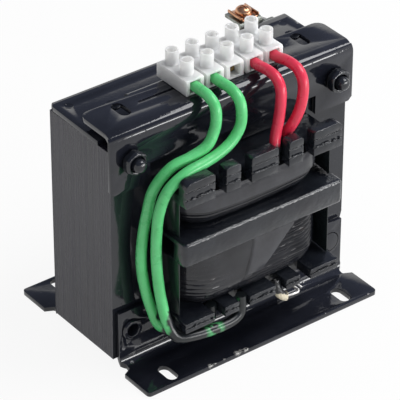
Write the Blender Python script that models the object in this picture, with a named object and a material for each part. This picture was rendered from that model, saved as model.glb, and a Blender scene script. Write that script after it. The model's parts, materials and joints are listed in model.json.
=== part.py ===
"""Open-frame safety isolating transformer, in metres at real size.

X runs along the core's width, Y from the lead side (negative, the front) to the rear, Z is up.
The origin lies on the floor below the middle of the core.
"""

import math

import bmesh
import bpy
from mathutils import Matrix, Vector

# Clearance between pieces that touch or nest
GAP = 0.0003

# Laminated core of the 120 mm EI size
CORE_WIDTH = 0.120
CORE_HEIGHT = 0.100
CORE_DEPTH = 0.041
CORE_LIFT = 0.0045
OUTER_LIMB = 0.020
CENTRE_LIMB = 0.040
YOKE = 0.020
DENT_HEIGHT = 0.005
DENT_DEPTH = 0.0014

# Clamp bolts with their nuts, and the hollow rivets of the feet
BOLT_EDGE = 0.0086
BOLT_DROP = 0.0047
BOLT_DIAMETER = 0.006
NUT_FLATS = 0.010
NUT_HEIGHT = 0.005
BOLT_END = 0.0030
RIVET_EDGE = 0.008
RIVET_RISE = 0.0133
RIVET_DIAMETER = 0.0068
RIVET_BORE = 0.0052
RIVET_HEAD = 0.0098
RIVET_HEAD_HEIGHT = 0.0010

# Bent sheet brackets
SHEET = 0.002
TOP_BEND = 0.0045
REAR_BEND = 0.0025
TOP_OVERHANG = 0.0014
EAR_DROP = 0.0188
EAR_CHAMFER = 0.0017
MIDDLE_DROP = 0.0099
EAR_WIDTH = 0.018
FLANGE_OVERHANG = 0.0009
FLANGE_RISE = 0.0088
FLANGE_DEPTH = 0.0218
FLANGE_CORNER = 0.004
FLANGE_SLOT_EDGE = 0.0147
FLANGE_SLOT_BACK = 0.0069
FLANGE_SLOT_LENGTH = 0.0103
FLANGE_SLOT_WIDTH = 0.0052
TONGUE_EDGE = 0.0235
TONGUE_REACH = 0.0035
TONGUE_BEND = 0.0035
GROOVE_BACK = 0.0067
GROOVE_WIDTH = 0.0014
GROOVE_DEPTH = 0.0006
REAR_OVERHANG = 0.0004
REAR_FLANGE_DEPTH = 0.0358
REAR_HOLE_EDGE = 0.0055
REAR_HOLE_IN = 0.0078
REAR_HOLE_DIAMETER = 0.004

# Foot brackets
FOOT_EAR_RISE = 0.0230
FOOT_MIDDLE_RISE = 0.0150
FOOT_WALL_EDGE = 0.0018
FOOT_NECK_EDGE = 0.0037
FOOT_OVERHANG = 0.0001
FOOT_BEND = 0.0062
FOOT_DEPTH = 0.0226
FOOT_CORNER = 0.0016
FOOT_SLOT_EDGE = 0.0145
FOOT_SLOT_BACK = 0.0068
FOOT_SLOT_LENGTH = 0.0104
FOOT_SLOT_WIDTH = 0.0050

# Bobbin moulding
BOBBIN_WALL = 0.0015
FLANGE_CLEARANCE = 0.0004
RIM_SETBACK = 0.0004
TOP_RIM_DROP = 0.0025
TOP_RIM_RISE = 0.0015
LUG_HEIGHT = 0.0075
LUG_DEPTH = 0.0050
LUG_ROUND = 0.0012
LUG_END_ROUND = 0.0030
NOTCH_X = (0.0095, 0.0223)
NOTCH_WIDTH = 0.0056
NOTCH_DEPTH = 0.0092
RIM_GROOVE_WIDTH = 0.0007
RIM_GROOVE_DEPTH = 0.0005
LOW_RIM_DROP = 0.0030
LOW_RIM_RISE = 0.0015
BAND_RISE = 0.0294
BAND_HEIGHT = 0.0111
BAND_DEPTH = 0.0231
BAND_OVERLAP = 0.0008
BAND_PLATE = 0.0018
BAND_WALL = 0.0030
BAND_RETURN = 0.0073
BAND_ROUND = 0.0014
LEAD_HOLE_X = 0.0167
LEAD_HOLE_IN = 0.0106
LEAD_HOLE_DIAMETER = 0.0060

# Windings, their tape and the insulating sheets beside them
WINDING_SIDE_GAP = 0.0028
WINDING_SETBACK = 0.0047
WINDING_CORNER = 0.015
WINDING_CROWN = 0.0025
UPPER_BARREL = 0.0022
LOWER_SHOULDER = 0.0046
TURN_PITCH = 0.0023
TURN_DEPTH = 0.0006
SMOOTH_HALF_WIDTH = 0.019
UPPER_STEPS = 8
UPPER_TAPE_STEPS = 4
TAPE = 0.0004
LOWER_TAPE_LEFT = -0.009
LOWER_TAPE_RIGHT = 0.0195
SHEET_PAPER = 0.0004
SHEET_SIDE_GAP = 0.0007
SHEET_SETBACK = 0.0060
SHEET_BOW = 0.0009

# Terminal strip
POLES = 5
PITCH = 0.010
FIRST_POLE_X = -0.015
BARREL_WIDTH = 0.0086
BARREL_LENGTH = 0.0200
BARREL_OVERHANG = 0.0045
BARREL_HEIGHT = 0.0068
BARREL_WALL = 0.0008
MOUTH = 0.0052
TUBE_FRONT_IN = 0.0056
TUBE_REAR_IN = 0.0046
TUBE_DIAMETER = 0.0056
TUBE_BORE = 0.0042
TUBE_RISE = 0.0132
SHELF_RISE = 0.0076
SHELF_BORE = 0.0033
WEB_HEIGHT = 0.0045
WEB_SETBACK = 0.0040
HUMP_SETBACK = 0.0037
HUMP_RADIUS = 0.0032
CLAMP_SETBACK = 0.0035
CLAMP_REAR_SETBACK = 0.0023
CLAMP_BORE = 0.0030
SCREW_DIAMETER = 0.0026
SCREW_HEAD_DIAMETER = 0.0035
SCREW_HEAD_HEIGHT = 0.0019
SCREW_SLOT_WIDTH = 0.0006
SCREW_SLOT_DEPTH = 0.0008
CONDUCTOR = 0.0019
FIXING_POLE_GAPS = (0, 3)
FIXING_SETBACK = 0.0103
FIXING_DIAMETER = 0.0020
FIXING_HEAD_DIAMETER = 0.0030
FIXING_HEAD_HEIGHT = 0.0014
FIXING_REACH = 0.0038

# Earth terminal at the rear
TAB_SHEET = 0.0015
TAB_LEFT_OF_BOLT = 0.0124
TAB_NARROW = 0.0009
TAB_FOOT = 0.0061
TAB_DROP = 0.0063
TAB_DEPTH = 0.0117
TAB_RISE = 0.0079
TAB_BEND = 0.0024
EARTH_LEFT_OF_BOLT = 0.0071
EARTH_BACK = 0.0058
EARTH_DIAMETER = 0.0040
EARTH_HEAD_DIAMETER = 0.0072
EARTH_HEAD_HEIGHT = 0.0033
EARTH_SHANK_DROP = 0.0047
SADDLE_SHEET = 0.0008
SADDLE_WIDTH = 0.0095
SADDLE_WALL = 0.0030

# Leads and the small winding end at the front
LEAD_DIAMETER = 0.0046
SLEEVE_DIAMETER = 0.0046
SLEEVE_BORE = 0.0022
WIRE_DIAMETER = 0.0012

GREEN_LEAD_1 = (
    (-0.0150, -0.0190, 0.1170), (-0.0150, -0.0245, 0.1168), (-0.0151, -0.0292, 0.1145),
    (-0.0154, -0.0308, 0.1095), (-0.0168, -0.0312, 0.1040), (-0.0208, -0.0318, 0.0990),
    (-0.0280, -0.0306, 0.0958), (-0.0366, -0.0292, 0.0934), (-0.0442, -0.0280, 0.0858),
    (-0.0470, -0.0270, 0.0745), (-0.0488, -0.0264, 0.0630), (-0.0494, -0.0262, 0.0520),
    (-0.0484, -0.0266, 0.0410), (-0.0466, -0.0282, 0.0305), (-0.0438, -0.0302, 0.0208),
    (-0.0374, -0.0322, 0.0158), (-0.0290, -0.0354, 0.0152), (-0.0238, -0.0367, 0.0170),
    (-0.0224, -0.0369, 0.0206), (-0.0223, -0.0369, 0.0255),
)
GREEN_LEAD_2 = (
    (-0.0050, -0.0190, 0.1170), (-0.0050, -0.0262, 0.1172), (-0.0050, -0.0318, 0.1150),
    (-0.0051, -0.0338, 0.1100), (-0.0062, -0.0344, 0.1040), (-0.0105, -0.0348, 0.0990),
    (-0.0170, -0.0352, 0.0960), (-0.0250, -0.0355, 0.0944), (-0.0344, -0.0355, 0.0928),
    (-0.0424, -0.0350, 0.0878), (-0.0460, -0.0340, 0.0784), (-0.0465, -0.0328, 0.0670),
    (-0.0460, -0.0318, 0.0560), (-0.0454, -0.0320, 0.0450), (-0.0448, -0.0334, 0.0350),
    (-0.0442, -0.0362, 0.0262), (-0.0418, -0.0394, 0.0192), (-0.0345, -0.0414, 0.0176),
    (-0.0240, -0.0420, 0.0168), (-0.0160, -0.0418, 0.0166), (-0.0110, -0.0412, 0.0180),
    (-0.0096, -0.0406, 0.0214), (-0.0095, -0.0404, 0.0268),
)
RED_LEAD_1 = (
    (0.0150, -0.0190, 0.1170), (0.0150, -0.0250, 0.1176), (0.0150, -0.0306, 0.1166),
    (0.0147, -0.0338, 0.1125), (0.0140, -0.0346, 0.1060), (0.0130, -0.0348, 0.0998),
    (0.0112, -0.0354, 0.0940), (0.0097, -0.0367, 0.0890), (0.0095, -0.0370, 0.0824),
)
RED_LEAD_2 = (
    (0.0250, -0.0190, 0.1172), (0.0250, -0.0250, 0.1184), (0.0250, -0.0312, 0.1180),
    (0.0247, -0.0352, 0.1145), (0.0238, -0.0366, 0.1085), (0.0219, -0.0368, 0.1020),
    (0.0194, -0.0357, 0.0960), (0.0174, -0.0334, 0.0908), (0.0167, -0.0326, 0.0868),
    (0.0167, -0.0326, 0.0824),
)
SLEEVE_ROUTE = (
    (0.0095, -0.0388, 0.0255), (0.0096, -0.0398, 0.0220), (0.0103, -0.0414, 0.0190),
    (0.0122, -0.0434, 0.0176),
)
WIRE_ROUTE = (
    (0.0095, -0.0386, 0.0262), (0.0096, -0.0398, 0.0220), (0.0103, -0.0414, 0.0190),
    (0.0122, -0.0434, 0.0176), (0.0160, -0.0445, 0.0180), (0.0200, -0.0444, 0.0198),
    (0.0222, -0.0434, 0.0222), (0.0223, -0.0410, 0.0245), (0.0223, -0.0395, 0.0262),
)

# Places that follow from the sizes above
CORE_HALF = CORE_WIDTH / 2
FACE = CORE_DEPTH / 2
CORE_TOP = CORE_LIFT + CORE_HEIGHT
WINDOW_IN = CENTRE_LIMB / 2
WINDOW_OUT = CORE_HALF - OUTER_LIMB
WINDOW_LOW = CORE_LIFT + YOKE
WINDOW_HIGH = CORE_TOP - YOKE
PLATE_IN = FACE + GAP
PLATE_OUT = PLATE_IN + SHEET
BOLT_X = CORE_HALF - BOLT_EDGE
BOLT_Z = CORE_TOP - BOLT_DROP
RIVET_X = CORE_HALF - RIVET_EDGE
RIVET_Z = CORE_LIFT + RIVET_RISE

EAR_LOW = CORE_TOP - EAR_DROP
MIDDLE_LOW = CORE_TOP - MIDDLE_DROP
CUTOUT_HALF_WIDTH = CORE_HALF - EAR_WIDTH
TOP_HALF_WIDTH = CORE_HALF + TOP_OVERHANG
FLANGE_HALF_WIDTH = CORE_HALF + FLANGE_OVERHANG
FLANGE_TOP = CORE_TOP + FLANGE_RISE
FLANGE_LOW = FLANGE_TOP - SHEET
FLANGE_REAR = FLANGE_DEPTH - PLATE_OUT
FLANGE_SLOT_X = CORE_HALF - FLANGE_SLOT_EDGE
FLANGE_SLOT_Y = FLANGE_REAR - FLANGE_SLOT_BACK
TONGUE_HALF_WIDTH = CORE_HALF - TONGUE_EDGE
TONGUE_REAR = FLANGE_REAR + TONGUE_REACH
GROOVE_Y = FLANGE_REAR - GROOVE_BACK
REAR_HALF_WIDTH = CORE_HALF + REAR_OVERHANG
REAR_FLANGE_LOW = CORE_TOP + GAP
REAR_FLANGE_TOP = REAR_FLANGE_LOW + SHEET
REAR_FLANGE_FRONT = PLATE_OUT - REAR_FLANGE_DEPTH
REAR_HOLE_X = CORE_HALF - REAR_HOLE_EDGE
REAR_HOLE_Y = PLATE_OUT - REAR_HOLE_IN

FOOT_EAR_HIGH = CORE_LIFT + FOOT_EAR_RISE
FOOT_MIDDLE_HIGH = CORE_LIFT + FOOT_MIDDLE_RISE
FOOT_WALL_HALF_WIDTH = CORE_HALF - FOOT_WALL_EDGE
FOOT_NECK_HALF_WIDTH = CORE_HALF - FOOT_NECK_EDGE
FOOT_HALF_WIDTH = CORE_HALF + FOOT_OVERHANG
FOOT_REACH = PLATE_OUT + FOOT_DEPTH
FOOT_SLOT_X = CORE_HALF - FOOT_SLOT_EDGE
FOOT_SLOT_Y = FOOT_REACH - FOOT_SLOT_BACK

BAND_REACH = FACE + BAND_DEPTH
BAND_HALF_WIDTH = WINDOW_OUT + BAND_OVERLAP
BAND_LOW = WINDOW_LOW + BAND_RISE
BAND_HIGH = BAND_LOW + BAND_HEIGHT
RIM_REACH = BAND_REACH - RIM_SETBACK
RIM_HALF_WIDTH = WINDOW_OUT - FLANGE_CLEARANCE
TOP_RIM_LOW = WINDOW_HIGH - TOP_RIM_DROP
TOP_RIM_HIGH = WINDOW_HIGH + TOP_RIM_RISE
LUG_HIGH = TOP_RIM_HIGH + LUG_HEIGHT
LOW_RIM_LOW = WINDOW_LOW - LOW_RIM_DROP
LOW_RIM_HIGH = WINDOW_LOW + LOW_RIM_RISE
LEAD_HOLE_Y = LEAD_HOLE_IN - RIM_REACH
TUBE_HALF_X = WINDOW_IN + GAP
TUBE_HALF_Y = FACE + GAP
WINDING_HALF_WIDTH = WINDOW_OUT - WINDING_SIDE_GAP
WINDING_REACH = RIM_REACH - WINDING_SETBACK
SHEET_X = WINDOW_OUT - SHEET_SIDE_GAP
SHEET_REACH = RIM_REACH - SHEET_SETBACK

STRIP_LOW = FLANGE_TOP + GAP
BARREL_HIGH = STRIP_LOW + BARREL_HEIGHT
BARREL_REAR = FLANGE_REAR + BARREL_OVERHANG
BARREL_FRONT = BARREL_REAR - BARREL_LENGTH
TUBE_Y = (BARREL_FRONT + TUBE_FRONT_IN, BARREL_REAR - TUBE_REAR_IN)
TUBE_TOP = STRIP_LOW + TUBE_RISE
TUBE_SHELF = STRIP_LOW + SHELF_RISE
WEB_FRONT = BARREL_FRONT + WEB_SETBACK
HUMP_Y = BARREL_REAR - HUMP_SETBACK
CLAMP_FRONT = BARREL_FRONT + CLAMP_SETBACK
CLAMP_REAR = BARREL_REAR - CLAMP_REAR_SETBACK
FIXING_Y = BARREL_FRONT + FIXING_SETBACK
MOUTH_LOW = STRIP_LOW + BARREL_WALL
MOUTH_HIGH = MOUTH_LOW + MOUTH
WIRE_Z = (MOUTH_LOW + MOUTH_HIGH) / 2

TAB_LEFT = BOLT_X - TAB_LEFT_OF_BOLT
TAB_RIGHT = BOLT_X - TAB_NARROW
TAB_FOOT_RIGHT = BOLT_X + TAB_FOOT
TAB_LOW = BOLT_Z - TAB_DROP
TAB_REACH = PLATE_OUT + TAB_DEPTH
TAB_TOP = BOLT_Z + TAB_RISE
EARTH_X = BOLT_X - EARTH_LEFT_OF_BOLT
EARTH_Y = PLATE_OUT + EARTH_BACK
EARTH_SHANK_END = TAB_TOP - EARTH_SHANK_DROP
SADDLE_LOW = TAB_TOP + GAP
SADDLE_TOP = SADDLE_LOW + SADDLE_SHEET
EARTH_HEAD_LOW = SADDLE_TOP + GAP
THROUGH = 0.004

# Colour, roughness and metallic value of each finish
FINISHES = {
    "black_lacquer_core": ((0.055, 0.052, 0.060), 0.42, 0.0),
    "black_lacquer_steel": ((0.022, 0.025, 0.036), 0.22, 0.0),
    "black_lacquer_plastic": ((0.020, 0.022, 0.030), 0.30, 0.0),
    "lacquered_winding": ((0.040, 0.042, 0.050), 0.25, 0.0),
    "lacquered_tape": ((0.110, 0.112, 0.125), 0.30, 0.0),
    "insulating_sheet": ((0.030, 0.045, 0.045), 0.35, 0.0),
    "white_polyamide": ((0.700, 0.700, 0.690), 0.35, 0.0),
    "brass": ((0.600, 0.420, 0.150), 0.35, 1.0),
    "zinc_steel": ((0.520, 0.530, 0.540), 0.35, 1.0),
    "copper": ((0.620, 0.300, 0.150), 0.30, 1.0),
    "green_insulation": ((0.060, 0.530, 0.140), 0.35, 0.0),
    "red_insulation": ((0.560, 0.018, 0.050), 0.35, 0.0),
    "cream_sleeve": ((0.700, 0.640, 0.480), 0.45, 0.0),
    "tinned_wire": ((0.650, 0.640, 0.620), 0.30, 1.0),
}

# Where an outline point (u, v) and a distance along the extrusion axis lie in space
PLACES = {
    "X": lambda u, v, along: Vector((along, u, v)),
    "Y": lambda u, v, along: Vector((u, along, v)),
    "Z": lambda u, v, along: Vector((u, v, along)),
}


def clear_scene():
    for obj in list(bpy.data.objects):
        bpy.data.objects.remove(obj, do_unlink=True)


def finish_named(name):
    """The material of this finish, made on its first use."""
    known = bpy.data.materials.get(name)
    if known:
        return known
    colour, roughness, metallic = FINISHES[name]
    made = bpy.data.materials.new(name)
    made.use_nodes = True
    made.diffuse_color = (*colour, 1.0)
    shader = made.node_tree.nodes["Principled BSDF"]
    shader.inputs["Base Color"].default_value = (*colour, 1.0)
    shader.inputs["Roughness"].default_value = roughness
    shader.inputs["Metallic"].default_value = metallic
    return made


def solid(name, mesh):
    """An object in the scene that holds this bmesh, with its faces turned outwards."""
    bmesh.ops.recalc_face_normals(mesh, faces=mesh.faces)
    data = bpy.data.meshes.new(name)
    mesh.to_mesh(data)
    mesh.free()
    obj = bpy.data.objects.new(name, data)
    bpy.context.scene.collection.objects.link(obj)
    return obj


def finished(obj, name, finish, origin=None):
    """Names the piece, gives it its material, and puts its origin on origin."""
    obj.name = name
    obj.data.name = name
    obj.data.materials.clear()
    obj.data.materials.append(finish_named(finish))
    if origin is not None:
        obj.data.transform(Matrix.Translation(-Vector(origin)))
        obj.location = origin
    if obj.type == "MESH":
        obj.data.shade_smooth()
        obj.data.set_sharp_from_angle(angle=math.radians(35))
    return obj


def combined(target, tool, operation):
    """Joins, cuts or intersects target with tool, which is used up."""
    modifier = target.modifiers.new(operation.lower(), "BOOLEAN")
    modifier.operation = operation
    modifier.object = tool
    graph = bpy.context.evaluated_depsgraph_get()
    result = bpy.data.meshes.new_from_object(target.evaluated_get(graph))
    target.modifiers.clear()
    target.data = result
    bpy.data.objects.remove(tool, do_unlink=True)
    return target


def cut(target, *tools):
    for tool in tools:
        combined(target, tool, "DIFFERENCE")
    return target


def joined(target, *tools):
    for tool in tools:
        combined(target, tool, "UNION")
    return target


def copied(obj, shift):
    """A moved copy with a mesh of its own."""
    twin = bpy.data.objects.new(obj.name, obj.data.copy())
    twin.data.transform(Matrix.Translation(Vector(shift)))
    bpy.context.scene.collection.objects.link(twin)
    return twin


def mirrored(obj, axis):
    """A copy mirrored through the middle plane across this axis."""
    twin = bpy.data.objects.new(obj.name, obj.data.copy())
    twin.data.transform(Matrix.Scale(-1, 4, axis))
    twin.data.flip_normals()
    bpy.context.scene.collection.objects.link(twin)
    return twin


def prism(outline, axis, low, high):
    """The outline extruded along an axis from low to high."""
    mesh = bmesh.new()
    place = PLACES[axis]
    base = mesh.faces.new([mesh.verts.new(place(u, v, low)) for u, v in outline])
    made = bmesh.ops.extrude_face_region(mesh, geom=[base])
    moved = [item for item in made["geom"] if isinstance(item, bmesh.types.BMVert)]
    bmesh.ops.translate(mesh, verts=moved, vec=place(0, 0, high) - place(0, 0, low))
    return solid("prism", mesh)


def loft(rings, closed=False):
    """Skins rings of equal length, one after the other; closed joins the last to the first."""
    mesh = bmesh.new()
    verts = [[mesh.verts.new(point) for point in ring] for ring in rings]
    pairs = list(zip(verts, verts[1:]))
    if closed:
        pairs.append((verts[-1], verts[0]))
    for lower, upper in pairs:
        for index in range(len(lower)):
            after = (index + 1) % len(lower)
            mesh.faces.new((lower[index], lower[after], upper[after], upper[index]))
    if not closed:
        mesh.faces.new(verts[0])
        mesh.faces.new(verts[-1])
    return solid("loft", mesh)


def turned(profile, centre, axis="Z", sides=16, closed=False):
    """Turns the profile of (radius, height) points; an open one starts and ends on the axis."""
    rings = []
    for radius, height in profile:
        ring = []
        for side in range(sides):
            angle = 2 * math.pi * (side + 0.5) / sides
            spot = PLACES[axis](radius * math.cos(angle), radius * math.sin(angle), height)
            ring.append(Vector(centre) + spot)
        rings.append(ring)
    return loft(rings, closed)


def rectangle(left, right, low, high):
    return [(left, low), (right, low), (right, high), (left, high)]


def box(x_range, y_range, z_range):
    return prism(rectangle(*x_range, *y_range), "Z", *z_range)


def circle(u, v, radius, sides=16):
    steps = [2 * math.pi * (side + 0.5) / sides for side in range(sides)]
    return [(u + radius * math.cos(step), v + radius * math.sin(step)) for step in steps]


def filleted(corners, radius, steps=4, closed=True):
    """The corners rounded by arcs; radius is one value, or one for each corner."""
    radii = radius if isinstance(radius, list) else [radius] * len(corners)
    outline = []
    for index, corner in enumerate(corners):
        end = not closed and index in (0, len(corners) - 1)
        if end or radii[index] <= 0:
            outline.append(tuple(corner))
            continue
        here = Vector(corner)
        back = (Vector(corners[index - 1]) - here).normalized()
        ahead = (Vector(corners[(index + 1) % len(corners)]) - here).normalized()
        half = back.angle(ahead) / 2
        centre = here + (back + ahead).normalized() * radii[index] / math.sin(half)
        reach = radii[index] / math.tan(half)
        start = here + back * reach - centre
        stop = here + ahead * reach - centre
        first = math.atan2(start.y, start.x)
        sweep = (math.atan2(stop.y, stop.x) - first + math.pi) % (2 * math.pi) - math.pi
        for step in range(steps + 1):
            angle = first + sweep * step / steps
            outline.append((
                centre.x + radii[index] * math.cos(angle),
                centre.y + radii[index] * math.sin(angle),
            ))
    return outline


def slot_outline(u, v, length, width):
    """A slot with round ends, its length along v."""
    ends = rectangle(u - width / 2, u + width / 2, v - length / 2, v + length / 2)
    return filleted(ends, width / 2 * 0.999, 6)


def ribbon(path, thickness):
    """The outline of a strip of even thickness whose middle follows path."""
    points = [Vector(point) for point in path]
    left = []
    right = []
    for index, point in enumerate(points):
        came = (point - points[index - 1]).normalized() if index else None
        goes = (points[index + 1] - point).normalized() if index + 1 < len(points) else None
        came = came or goes
        goes = goes or came
        along = (came + goes).normalized()
        across = Vector((-along.y, along.x)) * (thickness / 2 / along.dot(came))
        left.append(tuple(point + across))
        right.append(tuple(point - across))
    return left + right[::-1]


def bent_strip(corners, radius, thickness, low, high):
    """A sheet bent along the middle line through corners, in the YZ plane, from x low to high."""
    path = filleted(corners, radius - thickness / 2, 6, closed=False)
    return prism(ribbon(path, thickness), "X", low, high)


# Core

def e_laminations():
    outline = [
        (-CORE_HALF, WINDOW_LOW), (-WINDOW_OUT, WINDOW_LOW), (-WINDOW_OUT, WINDOW_HIGH),
        (-WINDOW_IN, WINDOW_HIGH), (-WINDOW_IN, WINDOW_LOW), (WINDOW_IN, WINDOW_LOW),
        (WINDOW_IN, WINDOW_HIGH), (WINDOW_OUT, WINDOW_HIGH), (WINDOW_OUT, WINDOW_LOW),
        (CORE_HALF, WINDOW_LOW), (CORE_HALF, CORE_TOP), (-CORE_HALF, CORE_TOP),
    ]
    stack = prism(outline, "Y", -FACE, FACE)
    for side in (-1, 1):
        radius = BOLT_DIAMETER / 2 + GAP
        cut(stack, prism(circle(side * BOLT_X, BOLT_Z, radius), "Y", -FACE - THROUGH, FACE + THROUGH))
    dent = prism(
        [
            (CORE_HALF - DENT_DEPTH, WINDOW_LOW - GAP), (CORE_HALF + THROUGH, WINDOW_LOW - GAP),
            (CORE_HALF + THROUGH, WINDOW_LOW + DENT_HEIGHT), (CORE_HALF, WINDOW_LOW + DENT_HEIGHT),
        ],
        "Y", -FACE - THROUGH, -FACE + DENT_HEIGHT,
    )
    cut(stack, dent)
    return finished(stack, "core_e_laminations", "black_lacquer_core")


def i_laminations():
    stack = box((-CORE_HALF, CORE_HALF), (-FACE, FACE), (CORE_LIFT, WINDOW_LOW - GAP))
    for side in (-1, 1):
        radius = RIVET_DIAMETER / 2 + GAP
        cut(stack, prism(circle(side * RIVET_X, RIVET_Z, radius), "Y", -FACE - THROUGH, FACE + THROUGH))
    return finished(stack, "core_i_laminations", "black_lacquer_core")


# Brackets

def top_face_outline(half_width, top):
    """The upright face seen from the front: two ears with a cut-out between them."""
    chamfer = EAR_CHAMFER
    return [
        (-half_width, EAR_LOW + chamfer), (-half_width + chamfer, EAR_LOW),
        (-CUTOUT_HALF_WIDTH, EAR_LOW), (-CUTOUT_HALF_WIDTH, MIDDLE_LOW),
        (CUTOUT_HALF_WIDTH, MIDDLE_LOW), (CUTOUT_HALF_WIDTH, EAR_LOW),
        (half_width - chamfer, EAR_LOW), (half_width, EAR_LOW + chamfer),
        (half_width, top), (-half_width, top),
    ]


def bolt_holes(bracket):
    reach = PLATE_OUT + THROUGH
    for side in (-1, 1):
        hole = circle(side * BOLT_X, BOLT_Z, BOLT_DIAMETER / 2 + GAP)
        cut(bracket, prism(hole, "Y", -reach, reach))


def front_top_bracket():
    middle_y = -(PLATE_IN + SHEET / 2)
    middle_z = FLANGE_TOP - SHEET / 2
    corners = [(middle_y, EAR_LOW), (middle_y, middle_z), (FLANGE_REAR, middle_z)]
    bracket = bent_strip(corners, TOP_BEND, SHEET, -TOP_HALF_WIDTH, TOP_HALF_WIDTH)
    face = prism(top_face_outline(TOP_HALF_WIDTH, FLANGE_TOP + THROUGH), "Y", -PLATE_OUT - THROUGH, THROUGH)
    combined(bracket, face, "INTERSECT")
    bend_start = -PLATE_OUT + TOP_BEND / 3
    plan = [
        (-TOP_HALF_WIDTH - THROUGH, -PLATE_OUT - THROUGH), (TOP_HALF_WIDTH + THROUGH, -PLATE_OUT - THROUGH),
        (TOP_HALF_WIDTH + THROUGH, bend_start), (FLANGE_HALF_WIDTH, bend_start),
        (FLANGE_HALF_WIDTH, FLANGE_REAR), (-FLANGE_HALF_WIDTH, FLANGE_REAR),
        (-FLANGE_HALF_WIDTH, bend_start), (-TOP_HALF_WIDTH - THROUGH, bend_start),
    ]
    plan = filleted(plan, [0, 0, 0, 0, FLANGE_CORNER, FLANGE_CORNER, 0, 0])
    combined(bracket, prism(plan, "Z", 0, FLANGE_TOP + THROUGH), "INTERSECT")
    outer = TONGUE_REAR - SHEET / 2
    lip = [(FLANGE_REAR - 2 * SHEET, middle_z), (outer, middle_z), (outer, REAR_FLANGE_TOP + GAP)]
    joined(bracket, bent_strip(lip, TONGUE_BEND, SHEET, -TONGUE_HALF_WIDTH, TONGUE_HALF_WIDTH))
    bolt_holes(bracket)
    for side in (-1, 1):
        opening = slot_outline(side * FLANGE_SLOT_X, FLANGE_SLOT_Y, FLANGE_SLOT_LENGTH, FLANGE_SLOT_WIDTH)
        cut(bracket, prism(opening, "Z", FLANGE_LOW - THROUGH, FLANGE_TOP + THROUGH))
    groove = box(
        (-TONGUE_HALF_WIDTH, TONGUE_HALF_WIDTH),
        (GROOVE_Y - GROOVE_WIDTH / 2, GROOVE_Y + GROOVE_WIDTH / 2),
        (FLANGE_TOP - GROOVE_DEPTH, FLANGE_TOP + THROUGH),
    )
    cut(bracket, groove)
    for x in fixing_places():
        hole = circle(x, FIXING_Y, FIXING_DIAMETER / 2 + GAP, 12)
        cut(bracket, prism(hole, "Z", FLANGE_LOW - THROUGH, FLANGE_TOP + THROUGH))
    return finished(bracket, "front_top_bracket", "black_lacquer_steel")


def rear_top_bracket():
    middle_y = PLATE_IN + SHEET / 2
    middle_z = REAR_FLANGE_TOP - SHEET / 2
    corners = [(middle_y, EAR_LOW), (middle_y, middle_z), (REAR_FLANGE_FRONT, middle_z)]
    bracket = bent_strip(corners, REAR_BEND, SHEET, -REAR_HALF_WIDTH, REAR_HALF_WIDTH)
    face = top_face_outline(REAR_HALF_WIDTH, REAR_FLANGE_TOP + THROUGH)
    combined(bracket, prism(face, "Y", REAR_FLANGE_FRONT - THROUGH, PLATE_OUT + THROUGH), "INTERSECT")
    bolt_holes(bracket)
    for side in (-1, 1):
        hole = circle(side * REAR_HOLE_X, REAR_HOLE_Y, REAR_HOLE_DIAMETER / 2, 16)
        cut(bracket, prism(hole, "Z", REAR_FLANGE_LOW - THROUGH, REAR_FLANGE_TOP + THROUGH))
    return finished(bracket, "rear_top_bracket", "black_lacquer_steel")


def foot_plan():
    """The bracket seen from above: wall, narrow neck with round reliefs, and the foot."""
    relief = FOOT_HALF_WIDTH - FOOT_NECK_HALF_WIDTH
    bend_end = -(PLATE_OUT + FOOT_BEND - SHEET)
    half = [
        (FOOT_WALL_HALF_WIDTH, -FACE), (FOOT_WALL_HALF_WIDTH, -PLATE_OUT - GAP),
        (FOOT_NECK_HALF_WIDTH, -PLATE_OUT - relief / 2), (FOOT_NECK_HALF_WIDTH, bend_end),
        (FOOT_HALF_WIDTH, bend_end - relief / 2), (FOOT_HALF_WIDTH, -FOOT_REACH),
    ]
    corners = half + [(-x, y) for x, y in reversed(half)]
    rounds = [0, 0, 0, relief / 4, 0, FOOT_CORNER]
    return filleted(corners, rounds + rounds[::-1])


def foot_bracket():
    middle_y = -(PLATE_IN + SHEET / 2)
    corners = [(middle_y, FOOT_EAR_HIGH), (middle_y, SHEET / 2), (-FOOT_REACH, SHEET / 2)]
    bracket = bent_strip(corners, FOOT_BEND, SHEET, -FOOT_HALF_WIDTH, FOOT_HALF_WIDTH)
    outline = [
        (-FOOT_HALF_WIDTH - THROUGH, -THROUGH), (FOOT_HALF_WIDTH + THROUGH, -THROUGH),
        (FOOT_HALF_WIDTH + THROUGH, FOOT_EAR_HIGH), (CUTOUT_HALF_WIDTH, FOOT_EAR_HIGH),
        (CUTOUT_HALF_WIDTH, FOOT_MIDDLE_HIGH), (-CUTOUT_HALF_WIDTH, FOOT_MIDDLE_HIGH),
        (-CUTOUT_HALF_WIDTH, FOOT_EAR_HIGH), (-FOOT_HALF_WIDTH - THROUGH, FOOT_EAR_HIGH),
    ]
    combined(bracket, prism(outline, "Y", -FOOT_REACH - THROUGH, THROUGH), "INTERSECT")
    combined(bracket, prism(foot_plan(), "Z", -THROUGH, FOOT_EAR_HIGH + THROUGH), "INTERSECT")
    for side in (-1, 1):
        hole = circle(side * RIVET_X, RIVET_Z, RIVET_DIAMETER / 2 + GAP)
        cut(bracket, prism(hole, "Y", -PLATE_OUT - THROUGH, THROUGH))
        opening = slot_outline(side * FOOT_SLOT_X, -FOOT_SLOT_Y, FOOT_SLOT_LENGTH, FOOT_SLOT_WIDTH)
        cut(bracket, prism(opening, "Z", -THROUGH, SHEET + THROUGH))
    return bracket


def foot_brackets():
    front = foot_bracket()
    rear = mirrored(front, (0, 1, 0))
    finished(front, "front_foot_bracket", "black_lacquer_steel")
    finished(rear, "rear_foot_bracket", "black_lacquer_steel")


# Bolts, nuts and rivets

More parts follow.
